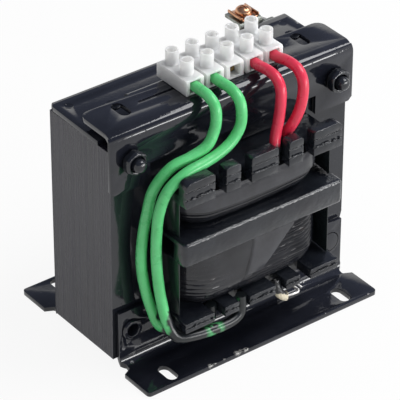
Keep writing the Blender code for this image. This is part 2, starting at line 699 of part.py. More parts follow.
def hexagon(u, v, flats):
    radius = flats / math.sqrt(3)
    steps = [math.pi / 6 + math.pi / 3 * side for side in range(6)]
    return [(u + radius * math.sin(step + math.pi / 6), v + radius * math.cos(step + math.pi / 6)) for step in steps]


def chamfered_hexagon(x, z, flats, low, high):
    """A hexagon along Y whose outer corners are turned off at both faces."""
    body = prism(hexagon(x, z, flats), "Y", low, high)
    corner = flats / math.sqrt(3)
    slope = (corner - flats / 2) * 0.6
    barrel = turned(
        [(corner - slope, low), (corner + GAP, low + slope), (corner + GAP, high - slope), (corner - slope, high)],
        (x, 0, z), "Y", 18,
    )
    return combined(body, barrel, "INTERSECT")


def clamp_bolt(side, name):
    seat = PLATE_OUT + GAP
    if side > 0:
        seat += TAB_SHEET + GAP
    x = side * BOLT_X
    tip = -(PLATE_OUT + GAP + NUT_HEIGHT + BOLT_END)
    radius = BOLT_DIAMETER / 2
    head = chamfered_hexagon(x, BOLT_Z, NUT_FLATS, seat, seat + NUT_HEIGHT * 0.8)
    profile = [
        (radius * 0.35, tip), (radius * 0.8, tip + radius * 0.2), (radius, tip + radius * 0.6),
        (radius, seat + NUT_HEIGHT * 0.4), (radius * 0.5, seat + NUT_HEIGHT * 0.4),
    ]
    joined(head, turned(profile, (x, 0, BOLT_Z), "Y", 16))
    finished(head, name, "black_lacquer_steel")


def clamp_nut(side, name):
    x = side * BOLT_X
    front = -(PLATE_OUT + GAP + NUT_HEIGHT)
    nut = chamfered_hexagon(x, BOLT_Z, NUT_FLATS, front, -(PLATE_OUT + GAP))
    hole = circle(x, BOLT_Z, BOLT_DIAMETER / 2 + GAP)
    cut(nut, prism(hole, "Y", front - THROUGH, -FACE))
    finished(nut, name, "black_lacquer_steel")


def hollow_rivet(side, name):
    bore = RIVET_BORE / 2
    shank = RIVET_DIAMETER / 2
    rim = RIVET_HEAD / 2
    seat = PLATE_OUT + GAP
    end = seat + RIVET_HEAD_HEIGHT
    half = [(shank, seat), (rim, seat), (rim - RIVET_HEAD_HEIGHT / 2, end), (bore + GAP, end), (bore, seat)]
    profile = half + [(radius, -height) for radius, height in reversed(half)]
    rivet = turned(profile, (side * RIVET_X, 0, RIVET_Z), "Y", 16, closed=True)
    finished(rivet, name, "black_lacquer_steel")


# Bobbin

def comb_outline(half_width, reach):
    """A flange seen from above, with its notches in the front and rear edges."""
    front = [(-half_width, -reach)]
    for centre in sorted([-x for x in NOTCH_X] + list(NOTCH_X)):
        left = centre - NOTCH_WIDTH / 2
        right = centre + NOTCH_WIDTH / 2
        inner = -reach + NOTCH_DEPTH
        front += [(left, -reach), (left, inner), (right, inner), (right, -reach)]
    front.append((half_width, -reach))
    return front + [(x, -y) for x, y in reversed(front)]


def lug_spans():
    """The x ranges of the lugs between the notches, left to right."""
    edges = [-RIM_HALF_WIDTH]
    for centre in sorted([-x for x in NOTCH_X] + list(NOTCH_X)):
        edges += [centre - NOTCH_WIDTH / 2, centre + NOTCH_WIDTH / 2]
    edges.append(RIM_HALF_WIDTH)
    return list(zip(edges[::2], edges[1::2]))


def lug(left, right, side):
    """One upright lug on the top flange, its outer corner rounder at the flange's ends."""
    rounds = [0, 0, LUG_ROUND, LUG_ROUND]
    if right >= RIM_HALF_WIDTH:
        rounds[2] = LUG_END_ROUND
    if left <= -RIM_HALF_WIDTH:
        rounds[3] = LUG_END_ROUND
    outline = filleted(rectangle(left, right, TOP_RIM_HIGH - GAP, LUG_HIGH), rounds)
    faces = sorted((side * RIM_REACH, side * (RIM_REACH - LUG_DEPTH)))
    return prism(outline, "Y", *faces)


def top_flange():
    flange = prism(comb_outline(RIM_HALF_WIDTH, RIM_REACH), "Z", TOP_RIM_LOW, TOP_RIM_HIGH)
    wide = WINDOW_OUT + THROUGH
    step = box((-wide, wide), (-TUBE_HALF_Y, TUBE_HALF_Y), (WINDOW_HIGH - GAP, TOP_RIM_HIGH + THROUGH))
    cut(flange, step)
    for side in (-1, 1):
        for left, right in lug_spans():
            joined(flange, lug(left, right, side))
    hole = circle(LEAD_HOLE_X, LEAD_HOLE_Y, LEAD_HOLE_DIAMETER / 2, 14)
    return cut(flange, prism(hole, "Z", TOP_RIM_LOW - THROUGH, TOP_RIM_HIGH + THROUGH))


def bottom_flange():
    flange = prism(comb_outline(RIM_HALF_WIDTH, RIM_REACH), "Z", LOW_RIM_LOW, LOW_RIM_HIGH)
    wide = WINDOW_OUT + THROUGH
    step = box((-wide, wide), (-PLATE_IN, PLATE_IN), (LOW_RIM_LOW - THROUGH, WINDOW_LOW + GAP))
    return cut(flange, step)


def rim_grooves(bobbin):
    """The thin lines moulded along the rims, front and rear."""
    heights = [
        TOP_RIM_HIGH, (TOP_RIM_HIGH + LUG_HIGH) / 2, (LOW_RIM_LOW + LOW_RIM_HIGH) / 2,
    ]
    for side in (-1, 1):
        inner = side * (RIM_REACH - RIM_GROOVE_DEPTH)
        outer = side * (RIM_REACH + THROUGH)
        for height in heights:
            line = box(
                (-WINDOW_OUT, WINDOW_OUT), sorted((inner, outer)),
                (height - RIM_GROOVE_WIDTH / 2, height + RIM_GROOVE_WIDTH / 2),
            )
            cut(bobbin, line)


def band_plan(inset):
    """The middle flange seen from above: wider in front of the limbs than between them."""
    wide = BAND_HALF_WIDTH - inset
    narrow = RIM_HALF_WIDTH - inset
    reach = BAND_REACH - inset
    step = PLATE_IN
    corners = [
        (-wide, -reach), (wide, -reach), (wide, -step), (narrow, -step), (narrow, step), (wide, step),
        (wide, reach), (-wide, reach), (-wide, step), (-narrow, step), (-narrow, -step), (-wide, -step),
    ]
    corner = BAND_ROUND * 1.5 - inset
    rounds = [corner, corner, 0, 0, 0, 0, corner, corner, 0, 0, 0, 0]
    return filleted(corners, rounds, 3)


def middle_flange():
    levels = []
    for step in (0, 0.5, 1):
        angle = step * math.pi / 2
        levels.append((BAND_ROUND * (1 - math.sin(angle)), BAND_ROUND * (1 - math.cos(angle))))
    rings = [[(x, y, BAND_LOW + lift) for x, y in band_plan(inset)] for inset, lift in levels]
    rings += [[(x, y, BAND_HIGH - lift) for x, y in band_plan(inset)] for inset, lift in reversed(levels)]
    band = loft(rings)
    inner = (BAND_LOW + BAND_PLATE, BAND_HIGH - BAND_PLATE)
    wide = BAND_HALF_WIDTH - BAND_WALL
    reach = BAND_REACH - BAND_WALL
    cut(band, box((-wide, wide), (-reach, reach), inner))
    side = BAND_REACH - BAND_RETURN
    out = BAND_HALF_WIDTH + THROUGH
    return cut(band, box((-out, out), (-side, side), inner))


def bobbin_piece():
    bobbin = top_flange()
    joined(bobbin, bottom_flange(), middle_flange())
    low = WINDOW_LOW + GAP
    high = WINDOW_HIGH - GAP
    wide = TUBE_HALF_X + BOBBIN_WALL
    deep = TUBE_HALF_Y + BOBBIN_WALL
    joined(bobbin, box((-wide, wide), (-deep, deep), (low, high)))
    cut(bobbin, box(
        (-TUBE_HALF_X, TUBE_HALF_X), (-TUBE_HALF_Y, TUBE_HALF_Y), (low - THROUGH, high + THROUGH),
    ))
    rim_grooves(bobbin)
    return finished(bobbin, "bobbin", "black_lacquer_plastic")


# Windings

def coil_plan(half_width, reach, corner, crown, arc_steps=4, flat_steps=3):
    """Points and outward directions of a rounded rectangle whose front and rear faces bulge."""
    points = []
    centres = [
        (half_width - corner, -(reach - corner), -90), (half_width - corner, reach - corner, 0),
        (-(half_width - corner), reach - corner, 90), (-(half_width - corner), -(reach - corner), 180),
    ]
    for u, v, start in centres:
        for step in range(arc_steps + 1):
            angle = math.radians(start + 90 * step / arc_steps)
            away = Vector((math.cos(angle), math.sin(angle)))
            points.append((Vector((u, v)) + away * corner, away))
        if start in (0, 180):
            across = Vector((0, 1 if start == 0 else -1))
            for step in range(1, flat_steps * 2):
                share = step / (flat_steps * 2)
                spot = Vector(((half_width - corner) * (1 - 2 * share) * across.y, reach * across.y))
                points.append((spot, across))
    shaped = []
    for spot, away in points:
        bulge = crown * (1 - (spot.x / half_width) ** 2) * (abs(spot.y) / reach) ** 2
        shaped.append((Vector((spot.x, spot.y + math.copysign(bulge, spot.y))), away))
    return shaped


def tube_plan():
    """The inner outline of a winding, with as many points as its outer one."""
    return coil_plan(
        TUBE_HALF_X + BOBBIN_WALL + GAP, TUBE_HALF_Y + BOBBIN_WALL + GAP, BOBBIN_WALL / 4, 0,
    )


def outer_plan():
    return coil_plan(WINDING_HALF_WIDTH, WINDING_REACH, WINDING_CORNER, WINDING_CROWN)


def winding(levels, low, high):
    """A ring whose outer face follows levels of (height, inset, turn depth)."""
    plan = outer_plan()
    rings = []
    for height, inset, depth in levels:
        ring = []
        for spot, away in plan:
            corner = min(max((abs(spot.x) - SMOOTH_HALF_WIDTH) / WINDING_CORNER * 2, 0), 1)
            at = spot - away * (inset + depth * corner)
            ring.append((at.x, at.y, height))
        rings.append(ring)
    inner = tube_plan()
    rings.append([(spot.x, spot.y, high) for spot, away in inner])
    rings.append([(spot.x, spot.y, low) for spot, away in inner])
    return loft(rings, closed=True)


def upper_levels():
    """The (height, inset) pairs of the upper winding's barrel shape."""
    low = BAND_HIGH + GAP
    high = TOP_RIM_LOW - GAP
    levels = []
    for step in range(UPPER_STEPS + 1):
        share = step / UPPER_STEPS
        levels.append((low + (high - low) * share, UPPER_BARREL * abs(2 * share - 1) ** 3))
    return levels


def upper_winding():
    levels = upper_levels()
    coil = winding([(height, inset, 0) for height, inset in levels], levels[0][0], levels[-1][0])
    finished(coil, "upper_winding", "lacquered_winding")


def lower_winding():
    low = LOW_RIM_HIGH + GAP
    high = BAND_LOW - GAP
    turns = round((high - low) / TURN_PITCH)
    pitch = (high - low) / turns
    levels = []
    for half_turn in range(2 * turns + 1):
        height = low + pitch / 2 * half_turn
        near = min(height - low, 2 * LOWER_SHOULDER) / (2 * LOWER_SHOULDER)
        inset = LOWER_SHOULDER * (1 - near) ** 2
        levels.append((height, inset, 0 if half_turn % 2 else TURN_DEPTH))
    finished(winding(levels, low, high), "lower_winding", "lacquered_winding")


def upper_tape():
    """The last layers of tape, a band round the top of the upper winding."""
    levels = upper_levels()[-UPPER_TAPE_STEPS - 1:]
    walls = [(height, inset, GAP + TAPE) for height, inset in levels]
    walls += [(height, inset, GAP) for height, inset in reversed(levels)]
    rings = []
    for height, inset, out in walls:
        rings.append([(*(spot + away * (out - inset)), height) for spot, away in outer_plan()])
    finished(loft(rings, closed=True), "upper_winding_tape", "lacquered_tape")


def lower_tape():
    """A strip of tape up the front of the lower winding, its lower edge drawn in."""
    low = LOW_RIM_HIGH + 2 * LOWER_SHOULDER
    high = BAND_LOW - 2 * GAP
    front = []
    back = []
    steps = 6
    for step in range(steps + 1):
        x = LOWER_TAPE_LEFT + (LOWER_TAPE_RIGHT - LOWER_TAPE_LEFT) * step / steps
        face = -(WINDING_REACH + WINDING_CROWN * (1 - (x / WINDING_HALF_WIDTH) ** 2)) - GAP
        front.append((x, face - TAPE))
        back.append((x, face))
    strip = prism(front + back[::-1], "Z", low, high)
    finished(strip, "lower_winding_tape", "lacquered_tape")


def insulating_sheet(side, low, high, name):
    """A stiff sheet between winding and limb, bowed inwards where it stands clear of the core."""
    steps = 8
    path = []
    for step in range(steps + 1):
        y = -SHEET_REACH + 2 * SHEET_REACH * step / steps
        over = max(abs(y) - FACE, 0) / (SHEET_REACH - FACE)
        path.append((side * (SHEET_X - SHEET_BOW * over ** 2), y))
    finished(prism(ribbon(path, SHEET_PAPER), "Z", low, high), name, "insulating_sheet")


def insulating_sheets():
    for side, where in ((-1, "left"), (1, "right")):
        insulating_sheet(side, BAND_HIGH + GAP, TOP_RIM_LOW - GAP, f"upper_{where}_sheet")
        insulating_sheet(side, LOW_RIM_HIGH + GAP, BAND_LOW - GAP, f"lower_{where}_sheet")


# Terminal strip

def pole_places():
    return [FIRST_POLE_X + PITCH * pole for pole in range(POLES)]


def fixing_places():
    return [FIRST_POLE_X + PITCH * (gap + 0.5) for gap in FIXING_POLE_GAPS]


def pole_body():
    """One pole at x = 0: a barrel with a square way through it and two screw tubes on top."""
    half = BARREL_WIDTH / 2
    sides = filleted(
        rectangle(BARREL_FRONT, BARREL_REAR, STRIP_LOW, BARREL_HIGH), [0, 0, BARREL_WALL, BARREL_WALL],
    )
    pole = prism(sides, "X", -half, half)
    for y in TUBE_Y:
        joined(pole, prism(circle(0, y, TUBE_DIAMETER / 2, 14), "Z", BARREL_HIGH - BARREL_WALL / 2, TUBE_TOP))
    way = rectangle(-MOUTH / 2, MOUTH / 2, MOUTH_LOW, MOUTH_HIGH)
    cut(pole, prism(way, "Y", BARREL_FRONT - THROUGH, BARREL_REAR + THROUGH))
    for y in TUBE_Y:
        cut(pole, prism(circle(0, y, TUBE_BORE / 2, 12), "Z", TUBE_SHELF, TUBE_TOP + THROUGH))
        cut(pole, prism(circle(0, y, SHELF_BORE / 2, 10), "Z", MOUTH_HIGH - GAP, TUBE_SHELF + GAP))
    return pole


def web(x):
    """The web between two poles, with a round hump beside the rear tubes."""
    reach = PITCH / 2 - BARREL_WIDTH / 2 + BARREL_WALL / 2
    outline = [(WEB_FRONT, STRIP_LOW), (HUMP_Y + HUMP_RADIUS, STRIP_LOW)]
    steps = 6
    for step in range(steps + 1):
        angle = math.pi * step / steps
        outline.append((
            HUMP_Y + HUMP_RADIUS * math.cos(angle),
            STRIP_LOW + WEB_HEIGHT + HUMP_RADIUS * math.sin(angle),
        ))
    outline.append((WEB_FRONT, STRIP_LOW + WEB_HEIGHT))
    return prism(outline, "X", x - reach, x + reach)


def terminal_strip():
    pole = pole_body()
    housing = copied(pole, (FIRST_POLE_X, 0, 0))
    for x in pole_places()[1:]:
        joined(housing, copied(pole, (x, 0, 0)))
    bpy.data.objects.remove(pole, do_unlink=True)
    for gap in range(POLES - 1):
        joined(housing, web(FIRST_POLE_X + PITCH * (gap + 0.5)))
    seat = STRIP_LOW + WEB_HEIGHT
    for x in fixing_places():
        well = circle(x, FIXING_Y, FIXING_HEAD_DIAMETER / 2 + GAP, 14)
        cut(housing, prism(well, "Z", seat - FIXING_HEAD_HEIGHT, TUBE_TOP + THROUGH))
        hole = circle(x, FIXING_Y, FIXING_DIAMETER / 2 + GAP, 12)
        cut(housing, prism(hole, "Z", STRIP_LOW - THROUGH, seat))
    finished(housing, "terminal_strip_housing", "white_polyamide")


def brass_clamp(x, name):
    """The metal body inside a pole, with a way for the wire and two screw holes."""
    half = MOUTH / 2 - GAP
    outline = rectangle(-half, half, MOUTH_LOW + GAP, MOUTH_HIGH - GAP)
    clamp = prism(outline, "Y", CLAMP_FRONT, CLAMP_REAR)
    cut(clamp, prism(circle(0, WIRE_Z, CLAMP_BORE / 2, 10), "Y", CLAMP_FRONT - THROUGH, CLAMP_REAR + THROUGH))
    for y in TUBE_Y:
        hole = circle(0, y, SCREW_DIAMETER / 2 + GAP, 10)
        cut(clamp, prism(hole, "Z", WIRE_Z, MOUTH_HIGH))
    clamp.data.transform(Matrix.Translation((x, 0, 0)))
    finished(clamp, name, "brass")


def slotted_screw(x, y, tip, seat, diameter, head_diameter, head_height):
    """A cheese-head screw pointing down, its head resting just above seat."""
    shank = diameter / 2
    head = head_diameter / 2
    top = seat + head_height
    profile = [
        (shank * 0.55, tip), (shank, tip + shank * 0.4), (shank, seat), (head, seat),
        (head, top - head * 0.12), (head * 0.88, top),
    ]
    screw = turned(profile, (x, y, 0), "Z", 10)
    kerf = box(
        (x - head_diameter, x + head_diameter), (y - SCREW_SLOT_WIDTH / 2, y + SCREW_SLOT_WIDTH / 2),
        (top - SCREW_SLOT_DEPTH, top + THROUGH),
    )
    return cut(screw, kerf)


def terminal_screws():
    for number, x in enumerate(pole_places(), 1):
        brass_clamp(x, f"terminal_clamp_{number}")
        for where, y in zip(("front", "rear"), TUBE_Y):
            tip = WIRE_Z + CONDUCTOR / 2 + GAP
            screw = slotted_screw(
                x, y, tip, TUBE_SHELF + GAP, SCREW_DIAMETER, SCREW_HEAD_DIAMETER, SCREW_HEAD_HEIGHT,
            )
            finished(screw, f"terminal_screw_{number}_{where}", "zinc_steel", (x, y, TUBE_SHELF))


def fixing_screws():
    seat = STRIP_LOW + WEB_HEIGHT - FIXING_HEAD_HEIGHT + GAP
    for x, where in zip(fixing_places(), ("left", "right")):
        screw = slotted_screw(
            x, FIXING_Y, FLANGE_LOW - FIXING_REACH + SHEET, seat,
            FIXING_DIAMETER, FIXING_HEAD_DIAMETER, FIXING_HEAD_HEIGHT,
        )
        finished(screw, f"strip_screw_{where}", "zinc_steel")


# Earth terminal

def earth_tab():
    """A bare angle clamped under the right bolt's head, its upper leg standing out to the rear."""
    middle_y = PLATE_OUT + GAP + TAB_SHEET / 2
    middle_z = TAB_TOP - TAB_SHEET / 2
    corners = [(middle_y, TAB_LOW), (middle_y, middle_z), (TAB_REACH, middle_z)]
    tab = bent_strip(corners, TAB_BEND, TAB_SHEET, TAB_LEFT, TAB_FOOT_RIGHT)
    shoulder = BOLT_Z + NUT_FLATS / 2 + GAP
    outline = filleted(
        [
            (TAB_LEFT, TAB_LOW), (TAB_FOOT_RIGHT, TAB_LOW), (TAB_FOOT_RIGHT, shoulder),
            (TAB_RIGHT, shoulder), (TAB_RIGHT, TAB_TOP + THROUGH), (TAB_LEFT, TAB_TOP + THROUGH),
        ],
        [0.0015, 0.0015, 0.0015, 0, 0, 0],
    )
    combined(tab, prism(outline, "Y", FACE, TAB_REACH + THROUGH), "INTERSECT")
    hole = circle(BOLT_X, BOLT_Z, BOLT_DIAMETER / 2 + GAP)
    cut(tab, prism(hole, "Y", FACE, PLATE_OUT + THROUGH))
    hole = circle(EARTH_X, EARTH_Y, EARTH_DIAMETER / 2 + GAP)
    cut(tab, prism(hole, "Z", TAB_TOP - TAB_SHEET - THROUGH, TAB_TOP + THROUGH))
    finished(tab, "earth_tab", "zinc_steel")


def earth_saddle():
    """The square washer with two turned-up walls that keep the wire under the head."""
    side = SADDLE_WIDTH / 2
    wall = side - SADDLE_SHEET / 2
    floor = SADDLE_LOW + SADDLE_SHEET / 2
    high = SADDLE_LOW + SADDLE_SHEET + SADDLE_WALL
    corners = [(EARTH_X - wall, high), (EARTH_X - wall, floor), (EARTH_X + wall, floor), (EARTH_X + wall, high)]
    path = filleted(corners, SADDLE_SHEET, 3, closed=False)
    saddle = prism(ribbon(path, SADDLE_SHEET), "Y", EARTH_Y - side, EARTH_Y + side)
    hole = circle(EARTH_X, EARTH_Y, EARTH_DIAMETER / 2 + GAP)
    cut(saddle, prism(hole, "Z", SADDLE_LOW - THROUGH, SADDLE_TOP + THROUGH))
    finished(saddle, "earth_saddle", "copper", (EARTH_X, EARTH_Y, SADDLE_LOW))


def earth_screw():
    shank = EARTH_DIAMETER / 2
    head = EARTH_HEAD_DIAMETER / 2
    low = EARTH_HEAD_LOW
    edge = EARTH_HEAD_HEIGHT * 0.3
    profile = [(shank * 0.7, EARTH_SHANK_END), (shank, EARTH_SHANK_END + shank * 0.4), (shank, low), (head, low)]
    steps = 4
    for step in range(steps):
        angle = math.pi / 2 * step / steps
        profile.append((head * math.cos(angle), low + edge + (EARTH_HEAD_HEIGHT - edge) * math.sin(angle)))
    profile.append((head * 0.12, low + EARTH_HEAD_HEIGHT))
    screw = turned(profile, (EARTH_X, EARTH_Y, 0), "Z", 20)
    high = low + EARTH_HEAD_HEIGHT
    for along, across in ((head * 0.62, SCREW_SLOT_WIDTH / 2), (SCREW_SLOT_WIDTH / 2, head * 0.62)):
        arm = box(
            (EARTH_X - along, EARTH_X + along), (EARTH_Y - across, EARTH_Y + across),
            (high - EARTH_HEAD_HEIGHT / 2, high + THROUGH),
        )
        cut(screw, arm)
    finished(screw, "earth_screw", "copper", (EARTH_X, EARTH_Y, EARTH_HEAD_LOW))


# Leads

def smooth_route(points, spacing):
    """Points at even distances along a smooth curve through the chosen ones."""
    chosen = [Vector(point) for point in points]
    chosen = [2 * chosen[0] - chosen[1]] + chosen + [2 * chosen[-1] - chosen[-2]]
    dense = []
    steps = 12
    for first, start, stop, last in zip(chosen, chosen[1:], chosen[2:], chosen[3:]):
        for step in range(steps):
            t = step / steps
            dense.append(0.5 * (
                2 * start + (stop - first) * t + (2 * first - 5 * start + 4 * stop - last) * t ** 2
                + (3 * start - first - 3 * stop + last) * t ** 3
            ))
    dense.append(chosen[-2])
    lengths = [(after - before).length for before, after in zip(dense, dense[1:])]
    count = max(round(sum(lengths) / spacing), 2)
    even = [dense[0]]
    walked = 0.0
    target = sum(lengths) / count
    for before, after, length in zip(dense, dense[1:], lengths):
        walked += length
        while walked >= target * len(even) and len(even) < count:
            even.append(after.lerp(before, (walked - target * len(even)) / length))
    even.append(dense[-1])
    return even


def cable(points, radii, diameter, name, finish, sides=2):
    curve = bpy.data.curves.new(name, "CURVE")
    curve.dimensions = "3D"
    curve.bevel_depth = diameter / 2
    curve.bevel_resolution = sides
    curve.use_fill_caps = True
    spline = curve.splines.new("POLY")
    spline.points.add(len(points) - 1)
    for knot, point, radius in zip(spline.points, points, radii):
        knot.co = (*point, 1)
        knot.radius = radius
    curve.materials.append(finish_named(finish))
    obj = bpy.data.objects.new(name, curve)
    bpy.context.scene.collection.objects.link(obj)
    return obj


def lead(pole, route, name, finish):
    """A lead from its stripped end in a clamp, along its route to the winding."""
    x = pole_places()[pole - 1]
    stripped = CONDUCTOR / LEAD_DIAMETER
    shoulder = CLAMP_FRONT - 2 * GAP
    start = [(x, TUBE_Y[0] + PITCH / 4, WIRE_Z), (x, shoulder + GAP, WIRE_Z), (x, shoulder - GAP / 3, WIRE_Z)]
    rest = smooth_route([(x, BARREL_FRONT, WIRE_Z)] + list(route), LEAD_DIAMETER * 1.8)
    radii = [stripped, stripped, 1.0] + [1.0] * len(rest)
    cable(start + rest, radii, LEAD_DIAMETER, name, finish)


def leads():
    lead(1, GREEN_LEAD_1, "green_lead_1", "green_insulation")
    lead(2, GREEN_LEAD_2, "green_lead_2", "green_insulation")
    lead(4, RED_LEAD_1, "red_lead_1", "red_insulation")
    lead(5, RED_LEAD_2, "red_lead_2", "red_insulation")


def ring_along(points, outer, inner, sides):
    """A hollow sleeve along the points."""
    rings = []
    walls = [(points, outer), (list(reversed(points)), inner)]
    for path, radius in walls:
        for index, point in enumerate(path):
            along = (path[min(index + 1, len(path) - 1)] - path[max(index - 1, 0)]).normalized()
            if path is not points:
                along = -along
            across = along.cross(Vector((1, 0, 0))).normalized()
            other = along.cross(across)
            ring = []
            for side in range(sides):
                angle = 2 * math.pi * side / sides
                ring.append(point + radius * (across * math.cos(angle) + other * math.sin(angle)))
            rings.append(ring)
    return loft(rings, closed=True)


def winding_end():
    sleeve = ring_along(smooth_route(SLEEVE_ROUTE, SLEEVE_DIAMETER / 2), SLEEVE_DIAMETER / 2, SLEEVE_BORE / 2, 12)
    finished(sleeve, "winding_end_sleeve", "cream_sleeve")
    wire = smooth_route(WIRE_ROUTE, WIRE_DIAMETER * 1.8)
    cable(wire, [1.0] * len(wire), WIRE_DIAMETER, "winding_end_wire", "tinned_wire", 1)


def build():
    clear_scene()
    e_laminations()
    i_laminations()
    front_top_bracket()
    rear_top_bracket()
    foot_brackets()
    for side, where in ((-1, "left"), (1, "right")):
        clamp_bolt(side, f"clamp_bolt_{where}")
        clamp_nut(side, f"clamp_nut_{where}")
        hollow_rivet(side, f"foot_rivet_{where}")
    bobbin_piece()
    upper_winding()
    lower_winding()
    upper_tape()
    lower_tape()
    insulating_sheets()
    terminal_strip()
    terminal_screws()
    fixing_screws()
    earth_tab()
    earth_saddle()
    earth_screw()
    leads()
    winding_end()


build()
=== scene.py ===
"""Looks of the open-frame safety isolating transformer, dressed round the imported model.

Metres. X runs along the core's width, Y from the lead side (negative, the front) to the rear, Z is up.
"""

import json
import math
import random

import bmesh
import bpy
from mathutils import Matrix, Vector, noise

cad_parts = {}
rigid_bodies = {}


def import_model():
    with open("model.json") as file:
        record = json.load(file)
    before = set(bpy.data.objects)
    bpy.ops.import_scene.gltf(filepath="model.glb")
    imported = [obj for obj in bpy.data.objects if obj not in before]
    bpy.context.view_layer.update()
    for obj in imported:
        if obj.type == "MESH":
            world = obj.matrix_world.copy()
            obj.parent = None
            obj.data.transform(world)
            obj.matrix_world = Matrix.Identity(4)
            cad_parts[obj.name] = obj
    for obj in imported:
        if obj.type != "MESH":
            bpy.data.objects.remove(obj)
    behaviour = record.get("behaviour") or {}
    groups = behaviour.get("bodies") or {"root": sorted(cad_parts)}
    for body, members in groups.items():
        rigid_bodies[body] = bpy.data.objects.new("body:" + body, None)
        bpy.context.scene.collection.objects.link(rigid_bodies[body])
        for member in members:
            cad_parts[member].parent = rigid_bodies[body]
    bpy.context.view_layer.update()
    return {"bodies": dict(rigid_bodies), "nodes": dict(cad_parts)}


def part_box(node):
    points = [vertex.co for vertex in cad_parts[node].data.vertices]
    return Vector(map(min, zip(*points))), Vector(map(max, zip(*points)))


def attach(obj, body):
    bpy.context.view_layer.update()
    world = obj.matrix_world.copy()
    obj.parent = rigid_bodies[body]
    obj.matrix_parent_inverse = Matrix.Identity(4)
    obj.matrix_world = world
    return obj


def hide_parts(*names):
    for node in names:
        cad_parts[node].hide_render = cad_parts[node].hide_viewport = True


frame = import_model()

NODES = frame["nodes"]
ROOT = "transformer"
STEEL = "black_lacquer_steel"
PLASTIC = "black_lacquer_plastic"
GAP = 0.0003

# Camera, fitted to the photograph's 400 pixel frame
FRAME_PIXELS = 400
FOCAL_PIXELS = 2921.07
SENSOR_MM = 36.0
CAMERA_AZIMUTH = math.radians(37.26)
CAMERA_ELEVATION = math.radians(33.74)
CAMERA_ROLL = math.radians(0.19)
CAMERA_DISTANCE = 1.2156
TARGET_ACROSS = 0.00004
TARGET_HEIGHT = 0.04793

# Core and its sheets
CORE_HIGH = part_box("core_e_laminations")[1]
FACE = CORE_HIGH.y
CORE_HALF = CORE_HIGH.x
CENTRE_LIMB = 0.040
LAMINATION = 0.0005
SHEET_GROOVE = 0.00006
SHEET_GROOVE_DEPTH = 0.00007
SHEET_SCATTER = 0.00003
JOINT_CLOSED = GAP * 0.9

# Softened edges and small fasteners rounded by lacquer: voxel size and rounds of smoothing
BEVEL_ANGLE = 32
BEVEL_SEGMENTS = 2
ROUNDED_BOLT = (0.00040, 5)
ROUNDED_NUT = (0.00045, 60)

# Forms that only the scene has
REAR_RIM = 0.0866
REAR_HEAD_DEPTH_SHARE = 0.42
REAR_HEAD_WIDTH_SHARE = 0.84
EAR_START = 0.0184
EAR_RUN = 0.0024
EAR_HALF = 0.0576
EAR_CURVE = 1.6
SADDLE_WALL_TOP = 0.1101
RIVET_HEAD = 0.0011
RIVET_COVER_RADIUS = 0.0058
RIVET_COVER_DEPTH = 0.0013
RIVET_COVER_CROWN = 0.0005
REAR_HOLE_X = CORE_HALF - 0.0055
REAR_HOLE_Y = 0.0150
REAR_HOLE_RADIUS = 0.0021
REAR_HOLE_DIPS = ((-1, 0.0006), (1, 0.0001))
REAR_HOLE_SINK = 0.00005
FLANGE_SLOT_X = CORE_HALF - 0.0147
FLANGE_SLOT_Y = -0.0026
FLANGE_SLOT_RADII = (0.0027, 0.0034)
FLANGE_SLOT_DIP = 0.0007
FLANGE_SLOT_SINK = 0.0003
PLUG_SIDE = 0.0008
PLUG_PROFILE = ((0, 1.0), (0.35, 0.8), (0.75, 0.5), (1, 0.15))
PLUG_CORNERS = 28
LUGS = (
    (-0.0396, -0.0251), (-0.0195, -0.0123), (-0.0067, 0.0067), (0.0123, 0.0195), (0.0251, 0.0396),
)
BEAD_ROWS = ((0.0862, 120), (0.0237, 70))
BEAD_REACH = 0.0385
BEAD_MARGIN = 0.0006
BEAD_SIZE = (0.00022, 0.00050)
BEAD_SCATTER = 0.0003
BEAD_PROUD = 0.00008
BEAD_LENGTHS = (1.0, 2.4)
BEAD_DEPTH = 0.8
BEAD_HEIGHTS = (0.7, 1.2)

# Where the finish and the painted light change: heights, and spots with their radii
# Light bare-metal spots at listed points: part wear, part painted highlight standing for glints
CHIPS_AND_GLINTS = (
    ((-0.0285, -0.0454, 0.0020), 0.0015), ((-0.0263, -0.0454, 0.0024), 0.0010), ((-0.0215, -0.0454, 0.0022), 0.0007),
    ((-0.0144, -0.0450, 0.0024), 0.0019), ((-0.0122, -0.0446, 0.0026), 0.0013), ((-0.0102, -0.0454, 0.0022), 0.0016),
    ((-0.0150, -0.0440, 0.0030), 0.0008), ((0.0602, 0.0120, 0.1068), 0.0011), ((-0.0535, -0.0246, 0.0024), 0.0010),
    ((0.0555, -0.0454, 0.0024), 0.0008), ((0.0320, -0.0454, 0.0024), 0.0007),
)
BARE_SPOTS = (((-0.0250, -0.0418, 0.0168), 0.0055), ((-0.0118, -0.0412, 0.0252), 0.0018))
RIM_LOW = (0.0640, 0.0646)
RIM_HIGH = (0.0685, 0.0692)
# Painted shade on the windings' reflections: a slanting edge on the lower winding, and the height above which the
# upper winding reflects less
SHADE_EDGE_HEIGHT = 0.0377
SHADE_EDGE_SLOPE = 0.40
SHADE_EDGE_CURVE = 20.6
SHADE_EDGE_LIMITS = (0.0300, 0.0600)
UPPER_TAPE_EDGE = (0.0785, 0.0800)
STRIP_LOW, STRIP_GRIME, STRIP_HIGH = 0.1136, 0.1162, 0.1215
SLEEVE_DIP = (0.0196, 0.0202)
DIP_BLUR = 0.0006

